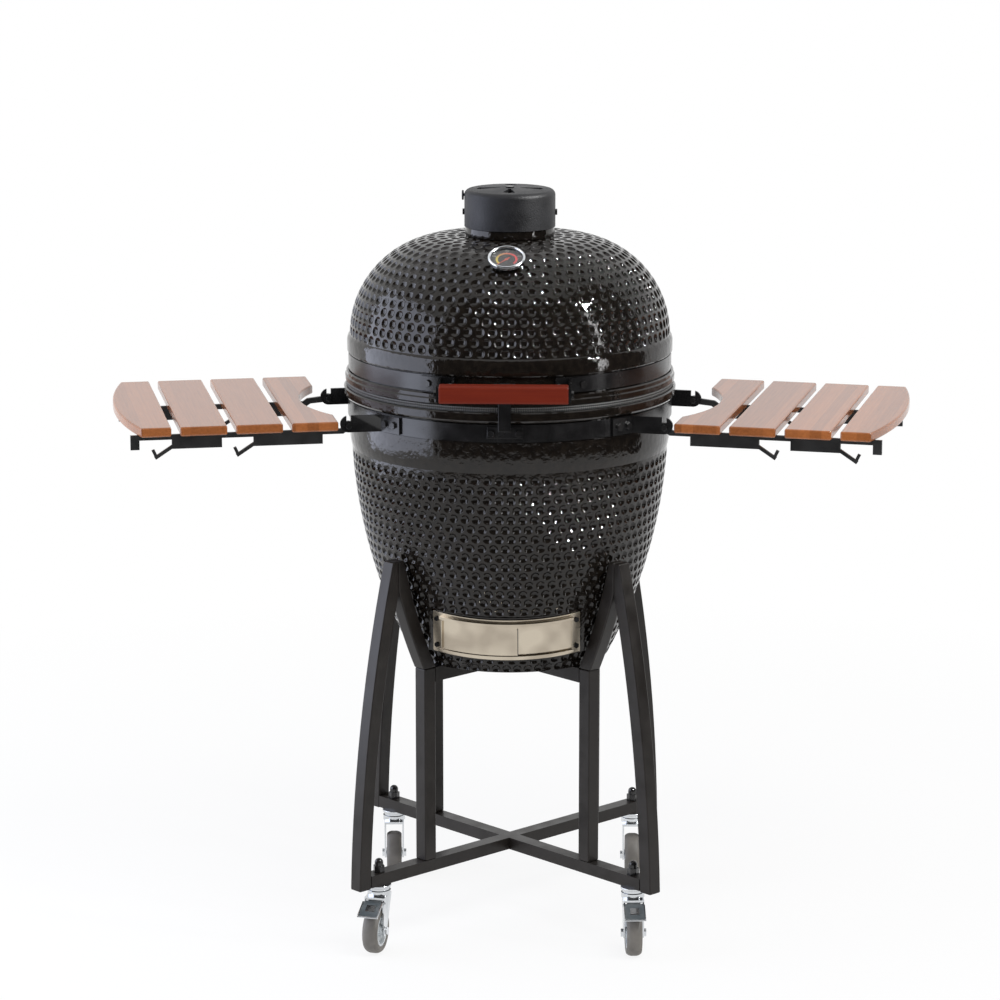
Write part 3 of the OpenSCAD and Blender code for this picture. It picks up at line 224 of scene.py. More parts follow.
plate, plate_tree, plate_shader = new_material("zinc_plate", Metallic=1.0)
out = use(plate_tree, grain, Fine_scale=500.0, Coarse_scale=24.0, Coarse_share=0.6)
plate_tree.links.new(
    blend_colours(plate_tree, remap(plate_tree, out["Cloud"], 0.35, 0.65, 0.0, 1.0),
                  (0.60, 0.62, 0.64, 1), (0.74, 0.76, 0.78, 1)),
    plate_shader.inputs["Base Color"],
)
plate_tree.links.new(remap(plate_tree, out["Cloud"], 0.3, 0.7, 0.14, 0.24),
                     plate_shader.inputs["Roughness"])
relief(plate_tree, plate_shader, out["Height"], 0.00002)

tread_rubber = coated_steel("tread_rubber", (0.13, 0.12, 0.105, 1), (0.20, 0.185, 0.165, 1),
                            0.62, 0.0001, fine=600.0)
hub_plastic = coated_steel("hub_plastic", (0.50, 0.53, 0.54, 1), (0.60, 0.63, 0.64, 1),
                           0.36, 0.00004)
blackened = coated_steel("blackened_steel", (0.008, 0.008, 0.008, 1), (0.016, 0.015, 0.015, 1),
                         0.15, 0.00003, fine=500.0)

rounded("caster_stems", "caster_races", plate, "grill_base", "chrome", 0.0008)
rounded("caster_nuts", "caster_acorn_nuts", blackened, "grill_base", "dark_screws", 0.0008)
for corner in ("fl", "fr", "rl", "rr"):
    rounded("caster_fork_" + corner, "fork_" + corner, plate, "caster_" + corner, "chrome",
            0.0009)
    rounded("wheel_hub_" + corner, "hub_" + corner, hub_plastic, "wheel_" + corner,
            "hub_plastic", 0.0008)
    rounded("wheel_tyre_" + corner, "tread_" + corner, tread_rubber, "wheel_" + corner,
            "tread", 0.001, angle=20.0)


def extruded(name, outlines, origin, u_axis, v_axis, w_axis):
    """A mesh of bars along w: each outline of u, v points comes with its two w ends."""
    bm = bmesh.new()
    for outline, w0, w1 in outlines:
        ends = [[bm.verts.new(origin + u * u_axis + v * v_axis + w * w_axis) for u, v in outline]
                for w in (w0, w1)]
        bm.faces.new(ends[0])
        bm.faces.new(ends[1][::-1])
        for k in range(len(outline)):
            m = (k + 1) % len(outline)
            bm.faces.new((ends[0][k], ends[1][k], ends[1][m], ends[0][m]))
    bmesh.ops.recalc_face_normals(bm, faces=bm.faces)
    mesh = bpy.data.meshes.new(name)
    bm.to_mesh(mesh)
    bm.free()
    return mesh


def arc(middle_u, middle_v, radius, start, end, count):
    """Points on an arc in the u, v plane, its angles in degrees from u."""
    turns = [math.radians(start + (end - start) * k / count) for k in range(count + 1)]
    return [(middle_u + radius * math.cos(t), middle_v + radius * math.sin(t)) for t in turns]


# A pedal is a pressed plate on a tongue that wraps the fork's cross pin. Its plate slopes down
# in front of the wheel, with turned-up sides, a rolled lip and a raised pad for the toe.
dull_zinc = coated_steel("pedal_plating", (0.075, 0.088, 0.094, 1), (0.13, 0.145, 0.15, 1), 0.18,
                         0.00004)
tongue = [(0.0105, 0.0042), (0.0105, 0.0005)] + arc(0, 0, 0.0045, -70, -130, 6) \
    + arc(0, 0, 0.0028, -130, 130, 16) + arc(0, 0, 0.0045, 130, 70, 6)
tread_plate = [(0.010, 0.0042), (0.014, 0.0040), (0.038, -0.0080), (0.043, -0.0100),
               (0.0425, -0.0122), (0.037, -0.0106), (0.0135, 0.0016), (0.010, 0.0018)]
side_rim = [(0.011, 0.0044), (0.014, 0.0054), (0.038, -0.0064), (0.043, -0.0086),
            (0.043, -0.0102), (0.038, -0.0081), (0.014, 0.0039), (0.011, 0.0040)]
pad = [(0.0200, 0.0006), (0.0206, 0.0019), (0.0322, -0.0039), (0.0326, -0.0055)]
for corner in ("fl", "fr"):
    pin = next(j for j in frame["joints"] if j["child"] == "pedal_" + corner)
    across, middle = Vector(pin["axis"]).normalized(), Vector(pin["pos_m"])
    ahead = across.cross(Vector((0, 0, 1)))
    for name, material, stands_for, outlines in (
            ("pedal_" + corner, dull_zinc, ["brake_pedal_" + corner],
             [(tongue, -0.011, 0.011), (tread_plate, -0.017, 0.017)]),
            ("pedal_rims_" + corner, plate, [],
             [(side_rim, -0.0172, -0.0156), (side_rim, 0.0156, 0.0172), (pad, -0.0075, 0.0075),
              (arc(0.0432, -0.0112, 0.0015, 0, 345, 15), -0.0172, 0.0172)])):
        mesh = extruded(name, outlines, middle, ahead, Vector((0, 0, 1)), across)
        soften(mesh, 30)
        piece(name, mesh, material, "pedal_" + corner, "chrome", *stands_for)

# ---------------------------------------------------------------------------------------------
# Ceramic bowl and lid: thick cast shells with a deep black gloss glaze. Rows of round dimples,
# about 19 mm apart, are pressed into the bowl's side and the lid's dome; the belts are plain.

glaze, glaze_tree, glaze_shader = new_material("black_glaze", IOR=1.42)
out = use(glaze_tree, grain, Fine_scale=330.0, Coarse_scale=95.0, Coarse_share=0.94)
glaze_tree.links.new(
    blend_colours(glaze_tree, remap(glaze_tree, out["Cloud"], 0.40, 0.62, 0.0, 1.0),
                  (0.006, 0.0045, 0.0035, 1), (0.0105, 0.008, 0.006, 1)),
    glaze_shader.inputs["Base Color"],
)
glaze_tree.links.new(remap(glaze_tree, out["Height"], 0.35, 0.65, 0.02, 0.06),
                     glaze_shader.inputs["Roughness"])
relief(glaze_tree, glaze_shader, out["Height"], 0.0007)


def side_of(node, low, high):
    """The outline of a round solid's outer face between two heights, as rising rows of radius
    and height, read at the back, away from the draft door and the thermometer."""
    points = {}
    mesh = nodes[node].data
    for polygon in mesh.polygons:
        x, y, z = polygon.center
        if y > 0 and polygon.normal.x * x + polygon.normal.y * y > 0.02 * math.hypot(x, y):
            for index in polygon.vertices:
                x, y, z = mesh.vertices[index].co
                if low - 1e-4 <= z <= high + 1e-4:
                    points[round(z, 4)] = max(points.get(round(z, 4), 0.0), math.hypot(x, y))
    return np.array([[points[z], z] for z in sorted(points)])


def smooth_outline(outline, flat_to=None):
    """The outline as a smooth curve, given as functions of the distance along it. It may go on
    inward at the same height, to the radius flat_to. Returns a function and its length."""
    gap = np.hypot(*np.diff(outline, axis=0).T)
    along = np.concatenate([[0], np.cumsum(gap)])
    degree = 7
    fits = [np.polynomial.Chebyshev.fit(along, column, degree) for column in outline.T]
    arc_end = along[-1]
    end = np.array([fit(arc_end) for fit in fits])
    length = arc_end + (end[0] - flat_to if flat_to else 0)

    def at(v):
        """Radius and height, and the outward direction, at distances v along the outline."""
        v = np.asarray(v, float)
        on_arc = np.minimum(v, arc_end)
        place = np.stack([fit(on_arc) for fit in fits], -1)
        place[..., 0] -= np.maximum(v - arc_end, 0)
        slope = np.stack([fit.deriv()(on_arc) for fit in fits], -1)
        slope = np.where((v > arc_end)[..., None], [-1.0, 0.0], slope)
        slope /= np.hypot(slope[..., 0], slope[..., 1])[..., None]
        return place, np.stack([slope[..., 1], -slope[..., 0]], -1)

    return at, length


def dimpled_skin(outline, first_row, pitch, row_gap, radius, depth, share, flat_to=None):
    """A skin round the axis with staggered rows of round dimples. Each dimple sits in a cell of
    its own, whose corners lie on rings round the axis; strips of triangles join the rows. A
    number of rows, share, has the same number of dimples, which follows the girth. The skin
    ends in a hem that turns inward, and a narrow land is left between the rows."""
    at, length = smooth_outline(outline, flat_to)
    corners, faces = [], []
    total = 0
    turn = 2 * math.pi
    hem_sides, hem_depth = 256, 0.002
    land = 0.0002

    def add(angle, v, sink=0.0):
        nonlocal total
        (r, z), (out_r, out_z) = (part.T for part in at(v))
        r, z = r - sink * out_r, z - sink * out_z
        corners.append(np.stack([r * np.sin(angle), -r * np.cos(angle), z], -1))
        total += len(corners[-1])
        return np.arange(total - len(corners[-1]), total)

    def join(low, low_start, high, high_start):
        """Triangles between two rings of evenly spaced corners, from their first angles on."""
        low_step, high_step = turn / len(low), turn / len(high)
        skip = round((low_start - high_start) / high_step)
        high_start += skip * high_step
        i = j = 0
        while i < len(low) or j < len(high):
            here = (low[i % len(low)], high[(j + skip) % len(high)])
            up_next = low_start + (i + 1) * low_step > high_start + (j + 1) * high_step
            if i == len(low) or (up_next and j < len(high)):
                j += 1
                faces.append((here[0], high[(j + skip) % len(high)], here[1]))
            else:
                i += 1
                faces.append((here[0], low[i % len(low)], here[1]))

    # Corners of a cell's edge from its right middle anticlockwise, as shares of its half sizes.
    edge = np.array([(1, 0), (1, .5), (1, 1), (.5, 1), (0, 1), (-.5, 1), (-1, 1), (-1, .5),
                     (-1, 0), (-1, -.5), (-1, -1), (-.5, -1), (0, -1), (.5, -1), (1, -1),
                     (1, -.5)])
    spoke = np.arctan2(edge[:, 1], edge[:, 0])
    wall = [(1.04, 0.0), (0.97, 0.09), (0.80, 0.44), (0.52, 0.78), (0.0, 1.0)]
    rows = int((length - first_row + row_gap / 2) // row_gap)
    plain = np.linspace(0, turn, hem_sides, endpoint=False)
    last = add(plain, np.zeros(hem_sides))
    join(add(plain, np.zeros(hem_sides), hem_depth), 0.0, last, 0.0)
    last_start = 0.0
    for k in range(rows):
        centre = first_row + k * row_gap
        middle_row = min(share * (k // share) + share // 2, rows - 1)
        girth = turn * at(first_row + middle_row * row_gap)[0][0]
        count = round(girth / pitch)
        across = turn / count
        start = (0.5 * (k % 2)) * across
        half_h = row_gap / 2 - land
        ids = {}
        for level in (-1, -.5, 0, .5, 1):
            share_of = 4 if abs(level) == 1 else 1
            angle = start - across / 2 + np.arange(count * share_of) * across / share_of
            ids[level] = add(angle, np.full(len(angle), centre + level * half_h))
            if level == -1:
                join(last, last_start, ids[level], angle[0])
        cell = np.arange(count)
        ring = []
        for x, y in edge:
            if abs(y) == 1:
                ring.append(ids[y][(cell * 4 + round((x + 1) * 2)) % (count * 4)])
            else:
                ring.append(ids[y][(cell + (x > 0)) % count])
        for reach, sunk in wall[:-1]:
            inner = []
            for a in spoke:
                v = centre + radius * reach * math.sin(a)
                r = at(v)[0][0]
                angle = start + cell * across + radius * reach * math.cos(a) / r
                inner.append(add(angle, np.full(count, v), depth * sunk))
            for q in range(len(edge)):
                p = (q + 1) % len(edge)
                faces.extend(zip(ring[q], ring[p], inner[p], inner[q]))
            ring = inner
        tip = add(start + cell * across, np.full(count, centre), depth)
        for q in range(len(edge)):
            faces.extend(zip(ring[q], ring[(q + 1) % len(edge)], tip))
        last, last_start = ids[1], start - across / 2
    end = add(plain, np.full(hem_sides, length))
    join(last, last_start, end, 0.0)
    join(end, 0.0, add(plain, np.full(hem_sides, length), hem_depth), 0.0)
    return np.vstack(corners), faces


def skin_mesh(name, corners, faces, keep=None):
    """The mesh of those faces whose middles pass the test keep."""
    if keep is not None:
        middle = np.array([corners[list(face)].mean(0) for face in faces])
        faces = [face for face, kept in zip(faces, keep(middle)) if kept]
    mesh = bpy.data.meshes.new(name)
    mesh.from_pydata(corners.tolist(), [], [tuple(int(i) for i in face) for face in faces])
    bm = bmesh.new()
    bm.from_mesh(mesh)
    bmesh.ops.delete(bm, geom=[v for v in bm.verts if not v.link_faces], context="VERTS")
    bm.to_mesh(mesh)
    bm.free()
    soften(mesh, 22)
    return mesh


def without(node, drop):
    """A clean copy of a solid's mesh without the faces that pass the test drop."""
    bm = bmesh.new()
    bm.from_mesh(nodes[node].data)
    bmesh.ops.remove_doubles(bm, verts=bm.verts, dist=2e-6)
    gone = [f for f in bm.faces if drop(f)]
    bmesh.ops.delete(bm, geom=gone, context="FACES")
    mesh = bpy.data.meshes.new(node + "_plain")
    bm.to_mesh(mesh)
    bm.free()
    soften(mesh, 32)
    return mesh


def leans_out(face):
    """True for a face that looks away from the vertical axis."""
    middle = face.calc_center_median()
    return face.normal.x * middle.x + face.normal.y * middle.y > 0.02 * middle.xy.length


# The bowl's curve runs from its foot up to the step under the plain belt. The seat of the draft
# door stands out of it, so the skin stops behind the seat.
foot_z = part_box("base_shell")[0].z
bowl_side = side_of("base_shell", foot_z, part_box("base_band")[0].z - 0.051)


def is_bowl_skin(face):
    middle = face.calc_center_median()
    return (foot_z + 1e-4 < middle.z < bowl_side[-1, 1] - 1e-4 and leans_out(face)
            and middle.xy.length < np.interp(middle.z, bowl_side[:, 1], bowl_side[:, 0]) + 4e-4)


draft_slide = next(j for j in frame["joints"] if j["name"] == "draft_outer_slide")
seat_axis = np.array(draft_slide["axis"]) / np.linalg.norm(draft_slide["axis"])
seat_centre = np.array(draft_slide["pos_m"])


def in_seat_frame(points):
    """Height along the draft door's tilted axis, angle from its front, and distance from it."""
    p = np.asarray(points) - seat_centre
    height = p @ seat_axis
    flat = p - height[:, None] * seat_axis
    side = flat[:, 0]
    ahead = flat @ np.cross([1, 0, 0], seat_axis)
    return height, np.arctan2(side, ahead), np.hypot(side, ahead)


steel = in_seat_frame([v.co for v in nodes["draft_frame"].data.vertices])
seat_height = np.abs(steel[0]).max() + 0.001
seat_angle = np.abs(steel[1]).max() + 0.02


def clear_of_seat(middle):
    height, angle, reach = in_seat_frame(middle)
    return ~((np.abs(height) < seat_height) & (np.abs(angle) < seat_angle))


piece("bowl_plain_parts", without("base_shell", is_bowl_skin), glaze, "grill_base", "glaze",
      "base_shell")
corners, faces = dimpled_skin(bowl_side, first_row=0.0082, pitch=0.0187, row_gap=0.01625,
                              radius=0.0072, depth=0.0044, share=4)
piece("bowl_dimpled_side", skin_mesh("bowl_skin", corners, faces, clear_of_seat), glaze,
      "grill_base", "glaze")

# The lid's dome is dimpled from the belt to the flat round the vent's collar.
dome_side = side_of("lid_shell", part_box("lid_band")[1].z + 0.030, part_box("lid_shell")[1].z)
dome_foot_z, dome_crown_z = dome_side[0, 1], dome_side[-1, 1]
vent_hole_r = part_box("vent_collar")[1].x - 0.004


def is_dome_skin(face):
    middle = face.calc_center_median()
    if middle.z > dome_crown_z - 1e-4:
        return middle.xy.length > 0.03
    near = middle.xy.length > np.interp(middle.z, dome_side[:, 1], dome_side[:, 0]) - 0.003
    return dome_foot_z + 1e-4 < middle.z and leans_out(face) and near


piece("lid_plain_parts", without("lid_shell", is_dome_skin), glaze, "lid", "glaze",
      "lid_shell")
corners, faces = dimpled_skin(dome_side, first_row=0.0085, pitch=0.0195, row_gap=0.01635,
                              radius=0.0076, depth=0.0038, share=2, flat_to=vent_hole_r)
piece("lid_dimpled_dome", skin_mesh("dome_skin", corners, faces), glaze, "lid", "glaze")

# ---------------------------------------------------------------------------------------------
# Inside the bowl: a firebox and a fire ring of pale refractory clay, a cast-iron charcoal grate
# and a stainless cooking grid. They are laid on each other and lift out.

clay, clay_tree, clay_shader = new_material("fire_clay", Roughness=0.9)
out = use(clay_tree, grain, Fine_scale=320.0, Coarse_scale=14.0, Coarse_share=0.4)
clay_tree.links.new(
    blend_colours(clay_tree, remap(clay_tree, out["Cloud"], 0.3, 0.7, 0.0, 1.0),
                  (0.40, 0.31, 0.22, 1), (0.58, 0.49, 0.38, 1)),
    clay_shader.inputs["Base Color"],
)
relief(clay_tree, clay_shader, out["Height"], 0.0006)
cast_iron = coated_steel("cast_iron_paint", (0.0085, 0.0085, 0.0102, 1),
                         (0.0150, 0.0150, 0.0178, 1), 0.50, 0.0007, fine=480.0, gloss=1.38)

stainless, steel_tree, steel_shader = new_material("polished_stainless", Metallic=1.0)
where = put(steel_tree, "TexCoord").outputs["Object"]
stretched = put(steel_tree, "Mapping", Vector=where, Scale=(3.0, 3.0, 900.0)).outputs[0]
lines = put(steel_tree, "TexNoise", Vector=stretched, Scale=1.0, Detail=4.0, Roughness=0.6)
cloudy = put(steel_tree, "TexNoise", Vector=where, Scale=24.0, Detail=1.0, Roughness=0.4)
steel_tree.links.new(
    blend_colours(steel_tree, remap(steel_tree, cloudy.outputs[0], 0.38, 0.62, 0.0, 1.0),
                  (0.42, 0.365, 0.290, 1), (0.57, 0.505, 0.405, 1)),
    steel_shader.inputs["Base Color"],
)
steel_tree.links.new(remap(steel_tree, lines.outputs[0], 0.3, 0.7, 0.19, 0.25),
                     steel_shader.inputs["Roughness"])
relief(steel_tree, steel_shader, lines.outputs[0], 0.000004)

rounded("firebox", "firebox_clay", clay, "grill_base", "clay", 0.003)
rounded("fire_ring", "fire_ring_clay", clay, "grill_base", "clay", 0.003)
rounded("charcoal_grate", "charcoal_grate_iron", cast_iron, "grill_base", "cast_iron", 0.001)
rounded("cooking_grid", "cooking_grid_bars", stainless, "grill_base", "bright_steel", 0.0012)

# ---------------------------------------------------------------------------------------------
# Woven seals: flat glass-fibre braid with a graphite finish, glued to both rims and slightly
# rounded where the lid presses it.

braid, braid_tree, braid_shader = new_material("glass_fibre_braid", Roughness=0.42)
where = put(braid_tree, "TexCoord").outputs["Object"]
axes = put(braid_tree, "SeparateXYZ", Vector=where).outputs
angle = calc(braid_tree, "ARCTAN2", axes[1], axes[0])
reach = calc(braid_tree, "SQRT", calc(braid_tree, "ADD",
                                      calc(braid_tree, "MULTIPLY", axes[0], axes[0]),
                                      calc(braid_tree, "MULTIPLY", axes[1], axes[1])))
strands_round, strands_across = 230.0, 900.0
drop = calc(braid_tree, "ADD", calc(braid_tree, "MULTIPLY", reach, strands_across),
            calc(braid_tree, "MULTIPLY", axes[2], strands_across))
strand = calc(braid_tree, "MULTIPLY", angle, strands_round)
weave = calc(braid_tree, "MULTIPLY",
             calc(braid_tree, "SINE", calc(braid_tree, "ADD", strand, drop)),
             calc(braid_tree, "SINE", calc(braid_tree, "SUBTRACT", strand, drop)))
weave = remap(braid_tree, weave, -0.35, 0.5, 0.0, 1.0)
braid_tree.links.new(
    blend_colours(braid_tree, weave, (0.010, 0.010, 0.010, 1), (0.13, 0.13, 0.125, 1)),
    braid_shader.inputs["Base Color"],
)
relief(braid_tree, braid_shader, weave, 0.0006)
for node in ("base_seal", "lid_seal"):
    rounded(node, node + "_braid", braid, "grill_base" if node == "base_seal" else "lid",
            "gasket", 0.0016, steps=3)

# ---------------------------------------------------------------------------------------------
# Steel bands and what is bolted to them: satin black bands with their clamp bolts, the latch,
# the handle's brackets, the brackets of the shelves, and the hinge with its pin and springs.

band_coat = coated_steel("band_coat", (0.006, 0.0058, 0.0060, 1), (0.009, 0.0087, 0.009, 1),
                         0.20, 0.00003)
for node, body in (("base_band", "grill_base"), ("lid_band", "lid")):
    rounded(node, node + "_steel", band_coat, body, "band_steel", 0.0006)
for node, body in (("latch_plate", "grill_base"), ("latch_arm", "latch"),
                   ("shelf_brackets", "grill_base"), ("hinge_base_bracket", "grill_base"),
                   ("hinge_lid_bracket", "lid"), ("handle_brackets", "lid")):
    rounded(node, node + "_steel", band_coat, body, "band_steel", 0.0009)
for node, body in (("base_band_bolts", "grill_base"), ("lid_band_bolts", "lid"),
                   ("shelf_pivot_pins", "grill_base"), ("draft_bolts", "grill_base"),
                   ("vent_screws", "lid")):
    rounded(node, node + "_black", blackened, body, "dark_screws", 0.0007)
rounded("hinge_pin", "hinge_pin_steel", stainless, "grill_base", "bright_steel", 0.0006)


def coil(name, start, end, radius, wire, turns, material, body, slot, *stands_for):
    """A spring of round wire along X, as a mesh swept along its helix."""
    steps, sides = 20 * turns, 8
    rings = []
    for k in range(steps + 1):
        t = k / steps
        a = 2 * math.pi * turns * t
        centre = Vector((start.x + (end.x - start.x) * t, start.y + radius * math.cos(a),
                         start.z + radius * math.sin(a)))
        out = Vector((0, math.cos(a), math.sin(a)))
        along = Vector(((end.x - start.x) / (2 * math.pi * turns), -radius * math.sin(a),
                        radius * math.cos(a))).normalized()
        side = along.cross(out)
        rings.append([centre + wire * (math.cos(b) * out + math.sin(b) * side)
                      for b in (2 * math.pi * s / sides for s in range(sides))])
    verts = [v for ring in rings for v in ring]
    faces = [(k * sides + s, k * sides + (s + 1) % sides, (k + 1) * sides + (s + 1) % sides,
              (k + 1) * sides + s) for k in range(steps) for s in range(sides)]
    faces += [tuple(range(sides))[::-1], tuple(steps * sides + s for s in range(sides))]
    mesh = bpy.data.meshes.new(name)
    mesh.from_pydata(verts, [], faces)
    mesh.shade_smooth()
    piece(name, mesh, material, body, slot, *stands_for)


low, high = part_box("hinge_springs")
axis_y, axis_z = (low.y + high.y) / 2, (low.z + high.z) / 2
wire, half_gap, spring_turns = 0.0013, 0.002, 9
for k, (x0, x1) in enumerate(((low.x, -half_gap), (half_gap, high.x))):
    coil("hinge_spring_%d" % (k + 1), Vector((x0 + wire, axis_y, axis_z)),
         Vector((x1 - wire, axis_y, axis_z)), (high.z - low.z) / 2 - wire, wire, spring_turns,
         blackened, "grill_base", "bright_steel", *(["hinge_springs"] if k == 0 else []))

# ---------------------------------------------------------------------------------------------
# Wood: the lid's handle is a bare bar stained red-brown, and each shelf has four laminated
# bamboo boards under a thick clear varnish.

bamboo_grain, gin, gout = effect(
    "wood_grain",
    {"Along x": 1.0, "Along y": 0.0, "Strand scale": 260.0, "Lamella": 0.019,
     "Dark": (0.3, 0.1, 0.03, 1), "Pale": (0.5, 0.2, 0.08, 1)},
    {"Colour": "Color", "Height": "Float"},
)
where = put(bamboo_grain, "TexCoord").outputs["Object"]
axes = put(bamboo_grain, "SeparateXYZ", Vector=where).outputs
ax, ay = gin.outputs[0], gin.outputs[1]
along = calc(bamboo_grain, "ADD", calc(bamboo_grain, "MULTIPLY", axes[0], ax),
             calc(bamboo_grain, "MULTIPLY", axes[1], ay))
across = calc(bamboo_grain, "SUBTRACT", calc(bamboo_grain, "MULTIPLY", axes[1], ax),
              calc(bamboo_grain, "MULTIPLY", axes[0], ay))
place = put(bamboo_grain, "CombineXYZ", X=calc(bamboo_grain, "MULTIPLY", along, 0.035),
            Y=across, Z=axes[2]).outputs[0]
strand = put(bamboo_grain, "TexNoise", Vector=place, Scale=gin.outputs[2], Detail=5.0,
             Roughness=0.65)
strip = calc(bamboo_grain, "FLOOR", calc(bamboo_grain, "DIVIDE", across, gin.outputs[3]))
tint = put(bamboo_grain, "TexWhiteNoise", {"noise_dimensions": "1D"}, W=strip)
mixed = calc(bamboo_grain, "ADD", calc(bamboo_grain, "MULTIPLY", strand.outputs[0], 0.7),
             calc(bamboo_grain, "MULTIPLY", tint.outputs[0], 0.3))
bamboo_grain.links.new(
    blend_colours(bamboo_grain, remap(bamboo_grain, mixed, 0.28, 0.72, 0.0, 1.0),
                  gin.outputs[4], gin.outputs[5]),
    gout.inputs[0],
)
bamboo_grain.links.new(strand.outputs[0], gout.inputs[1])


def varnished(name, along, dark, pale, lamella, coat):
    material, tree, shader = new_material(name, Roughness=0.45, IOR=1.25, Coat_Weight=coat,
                                          Coat_Roughness=0.12)
    out = use(tree, bamboo_grain, Along_x=along[0], Along_y=along[1], Lamella=lamella,
              Dark=dark, Pale=pale)
    tree.links.new(out["Colour"], shader.inputs["Base Color"])
    relief(tree, shader, out["Height"], 0.0001)
    return material


handle_wood = varnished("stained_handle", (1.0, 0.0), (0.12, 0.0105, 0.003, 1),
                        (0.175, 0.018, 0.004, 1), 0.5, 0.0)
rounded("handle_bar", "handle_bar_wood", handle_wood, "lid", "red_wood", 0.003, steps=4)

rail_coat = coated_steel("rail_coat", (0.010, 0.010, 0.010, 1), (0.018, 0.018, 0.018, 1),
                         0.36, 0.00005)
swing = math.radians(12)
for side, name in ((-1, "left"), (1, "right")):
    wood = varnished("varnished_bamboo_" + name, (side * math.sin(swing), math.cos(swing)),
                     (0.22, 0.066, 0.015, 1), (0.37, 0.118, 0.030, 1), 0.0185, 0.8)
    body = "shelf_" + name
    rounded(body + "_boards", body + "_boards_bamboo", wood, body, "bamboo", 0.003, steps=4)
    rounded(body + "_rails", body + "_rails_steel", rail_coat, body, "rail_steel", 0.0008)

# ---------------------------------------------------------------------------------------------
# Top vent: an enamelled cast-iron collar through the lid and a cap with four holes, painted
# matt charcoal, with a damper disc under the cap's top whose lever comes out at the side.

rounded("vent_collar", "vent_collar_enamel", glaze, "lid", "cast_iron", 0.0012)
for node, body in (("vent_cap", "lid"), ("vent_damper", "damper")):
    rounded(node, node + "_iron", cast_iron, body, "cast_iron", 0.0012)

# ---------------------------------------------------------------------------------------------
# Thermometer: a plated case with a rolled bezel, a dark dial printed with a yellow to red arc,
# pale ticks and numbers, a red pointer, and a glass lens that the bezel holds.

dial_paint = coated_steel("dial_paint", (0.012, 0.012, 0.012, 1), (0.018, 0.018, 0.018, 1), 0.5,
                          0.00003)
pointer_paint = coated_steel("pointer_paint", (0.55, 0.05, 0.03, 1), (0.60, 0.08, 0.04, 1), 0.4,
                             0.00003)
pale_print = coated_steel("pale_print", (0.50, 0.50, 0.47, 1), (0.62, 0.62, 0.58, 1), 0.5,
                          0.00001)
lens, lens_tree, lens_shader = new_material("clear_lens", IOR=1.45, Transmission_Weight=1.0)
smudge = use(lens_tree, grain, Fine_scale=900.0, Coarse_scale=90.0, Coarse_share=0.8)["Height"]
lens_tree.links.new(remap(lens_tree, smudge, 0.45, 0.65, 0.0, 0.05),
                    lens_shader.inputs["Roughness"])
rounded("thermometer_case", "gauge_case", plate, "lid", "chrome", 0.0005, steps=3)
rounded("thermometer_dial", "gauge_dial", dial_paint, "lid", "dial", 0.0001)
rounded("thermometer_pointer", "gauge_pointer", pointer_paint, "pointer", "pointer", 0.0001)
rounded("thermometer_lens", "gauge_lens", lens, "lid", "lens", 0.0002)
rounded("thermometer_stem", "gauge_stem", stainless, "lid", "bright_steel", 0.0004)

# The prints lie on the dial, in a frame of its own: Y points to the dial's top.
spindle = next(j for j in frame["joints"] if j["child"] == "pointer")
out_of_dial = Vector(spindle["axis"]).normalized()
up_dial = out_of_dial.cross(Vector((1, 0, 0)))
centre = Vector(spindle["pos_m"])
dial_rise = max((v.co - centre).dot(out_of_dial) for v in nodes["thermometer_dial"].data.vertices)
dial_frame = Matrix.Translation(centre + out_of_dial * (dial_rise + 0.00006)) @ Matrix(
    (Vector((1, 0, 0)), up_dial, out_of_dial)).transposed().to_4x4()
dial_start, dial_sweep = math.radians(225), math.radians(-270)


def printed(name, mesh, material):
    """A flat print, drawn in the dial's own frame."""
    obj = bpy.data.objects.new(name, mesh)
    obj.matrix_world = dial_frame
    bpy.context.scene.collection.objects.link(obj)
    mesh.materials.append(material)
    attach(obj, "lid")


def sectors(name, parts):
    """A flat mesh of ring sectors, each given by its two radii and its two angles."""
    bm = bmesh.new()
    for r0, r1, a0, a1 in parts:
        steps = max(1, round(abs(a1 - a0) / 0.08))
        rim = [[bm.verts.new((r * math.cos(a0 + (a1 - a0) * k / steps),
                              r * math.sin(a0 + (a1 - a0) * k / steps), 0))
                for r in (r0, r1)] for k in range(steps + 1)]
        for (a, b), (c, d) in zip(rim, rim[1:]):
            bm.faces.new((a, c, d, b))
    mesh = bpy.data.meshes.new(name)
    bm.to_mesh(mesh)
    bm.free()
    return mesh


arc_paint, arc_tree, arc_shader = new_material("arc_print", Roughness=0.5)
axes = put(arc_tree, "SeparateXYZ", Vector=put(arc_tree, "TexCoord").outputs["Object"]).outputs
turned = calc(arc_tree, "ARCTAN2", axes[0], axes[1])
ramp = put(arc_tree, "ValToRGB", Fac=remap(arc_tree, turned, dial_sweep / 2, -dial_sweep / 2,
                                           0.0, 1.0))
stops = ramp.color_ramp.elements
stops[0].position, stops[0].color = 0.20, (0.78, 0.62, 0.06, 1)
stops[1].position, stops[1].color = 0.62, (0.70, 0.05, 0.05, 1)
stops.new(0.42).color = (0.72, 0.28, 0.10, 1)
arc_tree.links.new(ramp.outputs[0], arc_shader.inputs["Base Color"])
arc_inner, arc_outer, tick_inner, number_r, number_size = 0.0138, 0.0172, 0.0178, 0.0222, 0.0042
tick_steps, ticks_per_number = 16, 4
printed("gauge_arc", sectors("gauge_arc", [(arc_inner, arc_outer, dial_start,
                                            dial_start + dial_sweep)]), arc_paint)
ticks = []
for k in range(tick_steps + 1):
    a = dial_start + dial_sweep * k / tick_steps
    tick_outer, half = (0.0200, 0.022) if k % ticks_per_number == 0 else (0.0190, 0.011)
    ticks.append((tick_inner, tick_outer, a - half, a + half))
printed("gauge_ticks", sectors("gauge_ticks", ticks), pale_print)
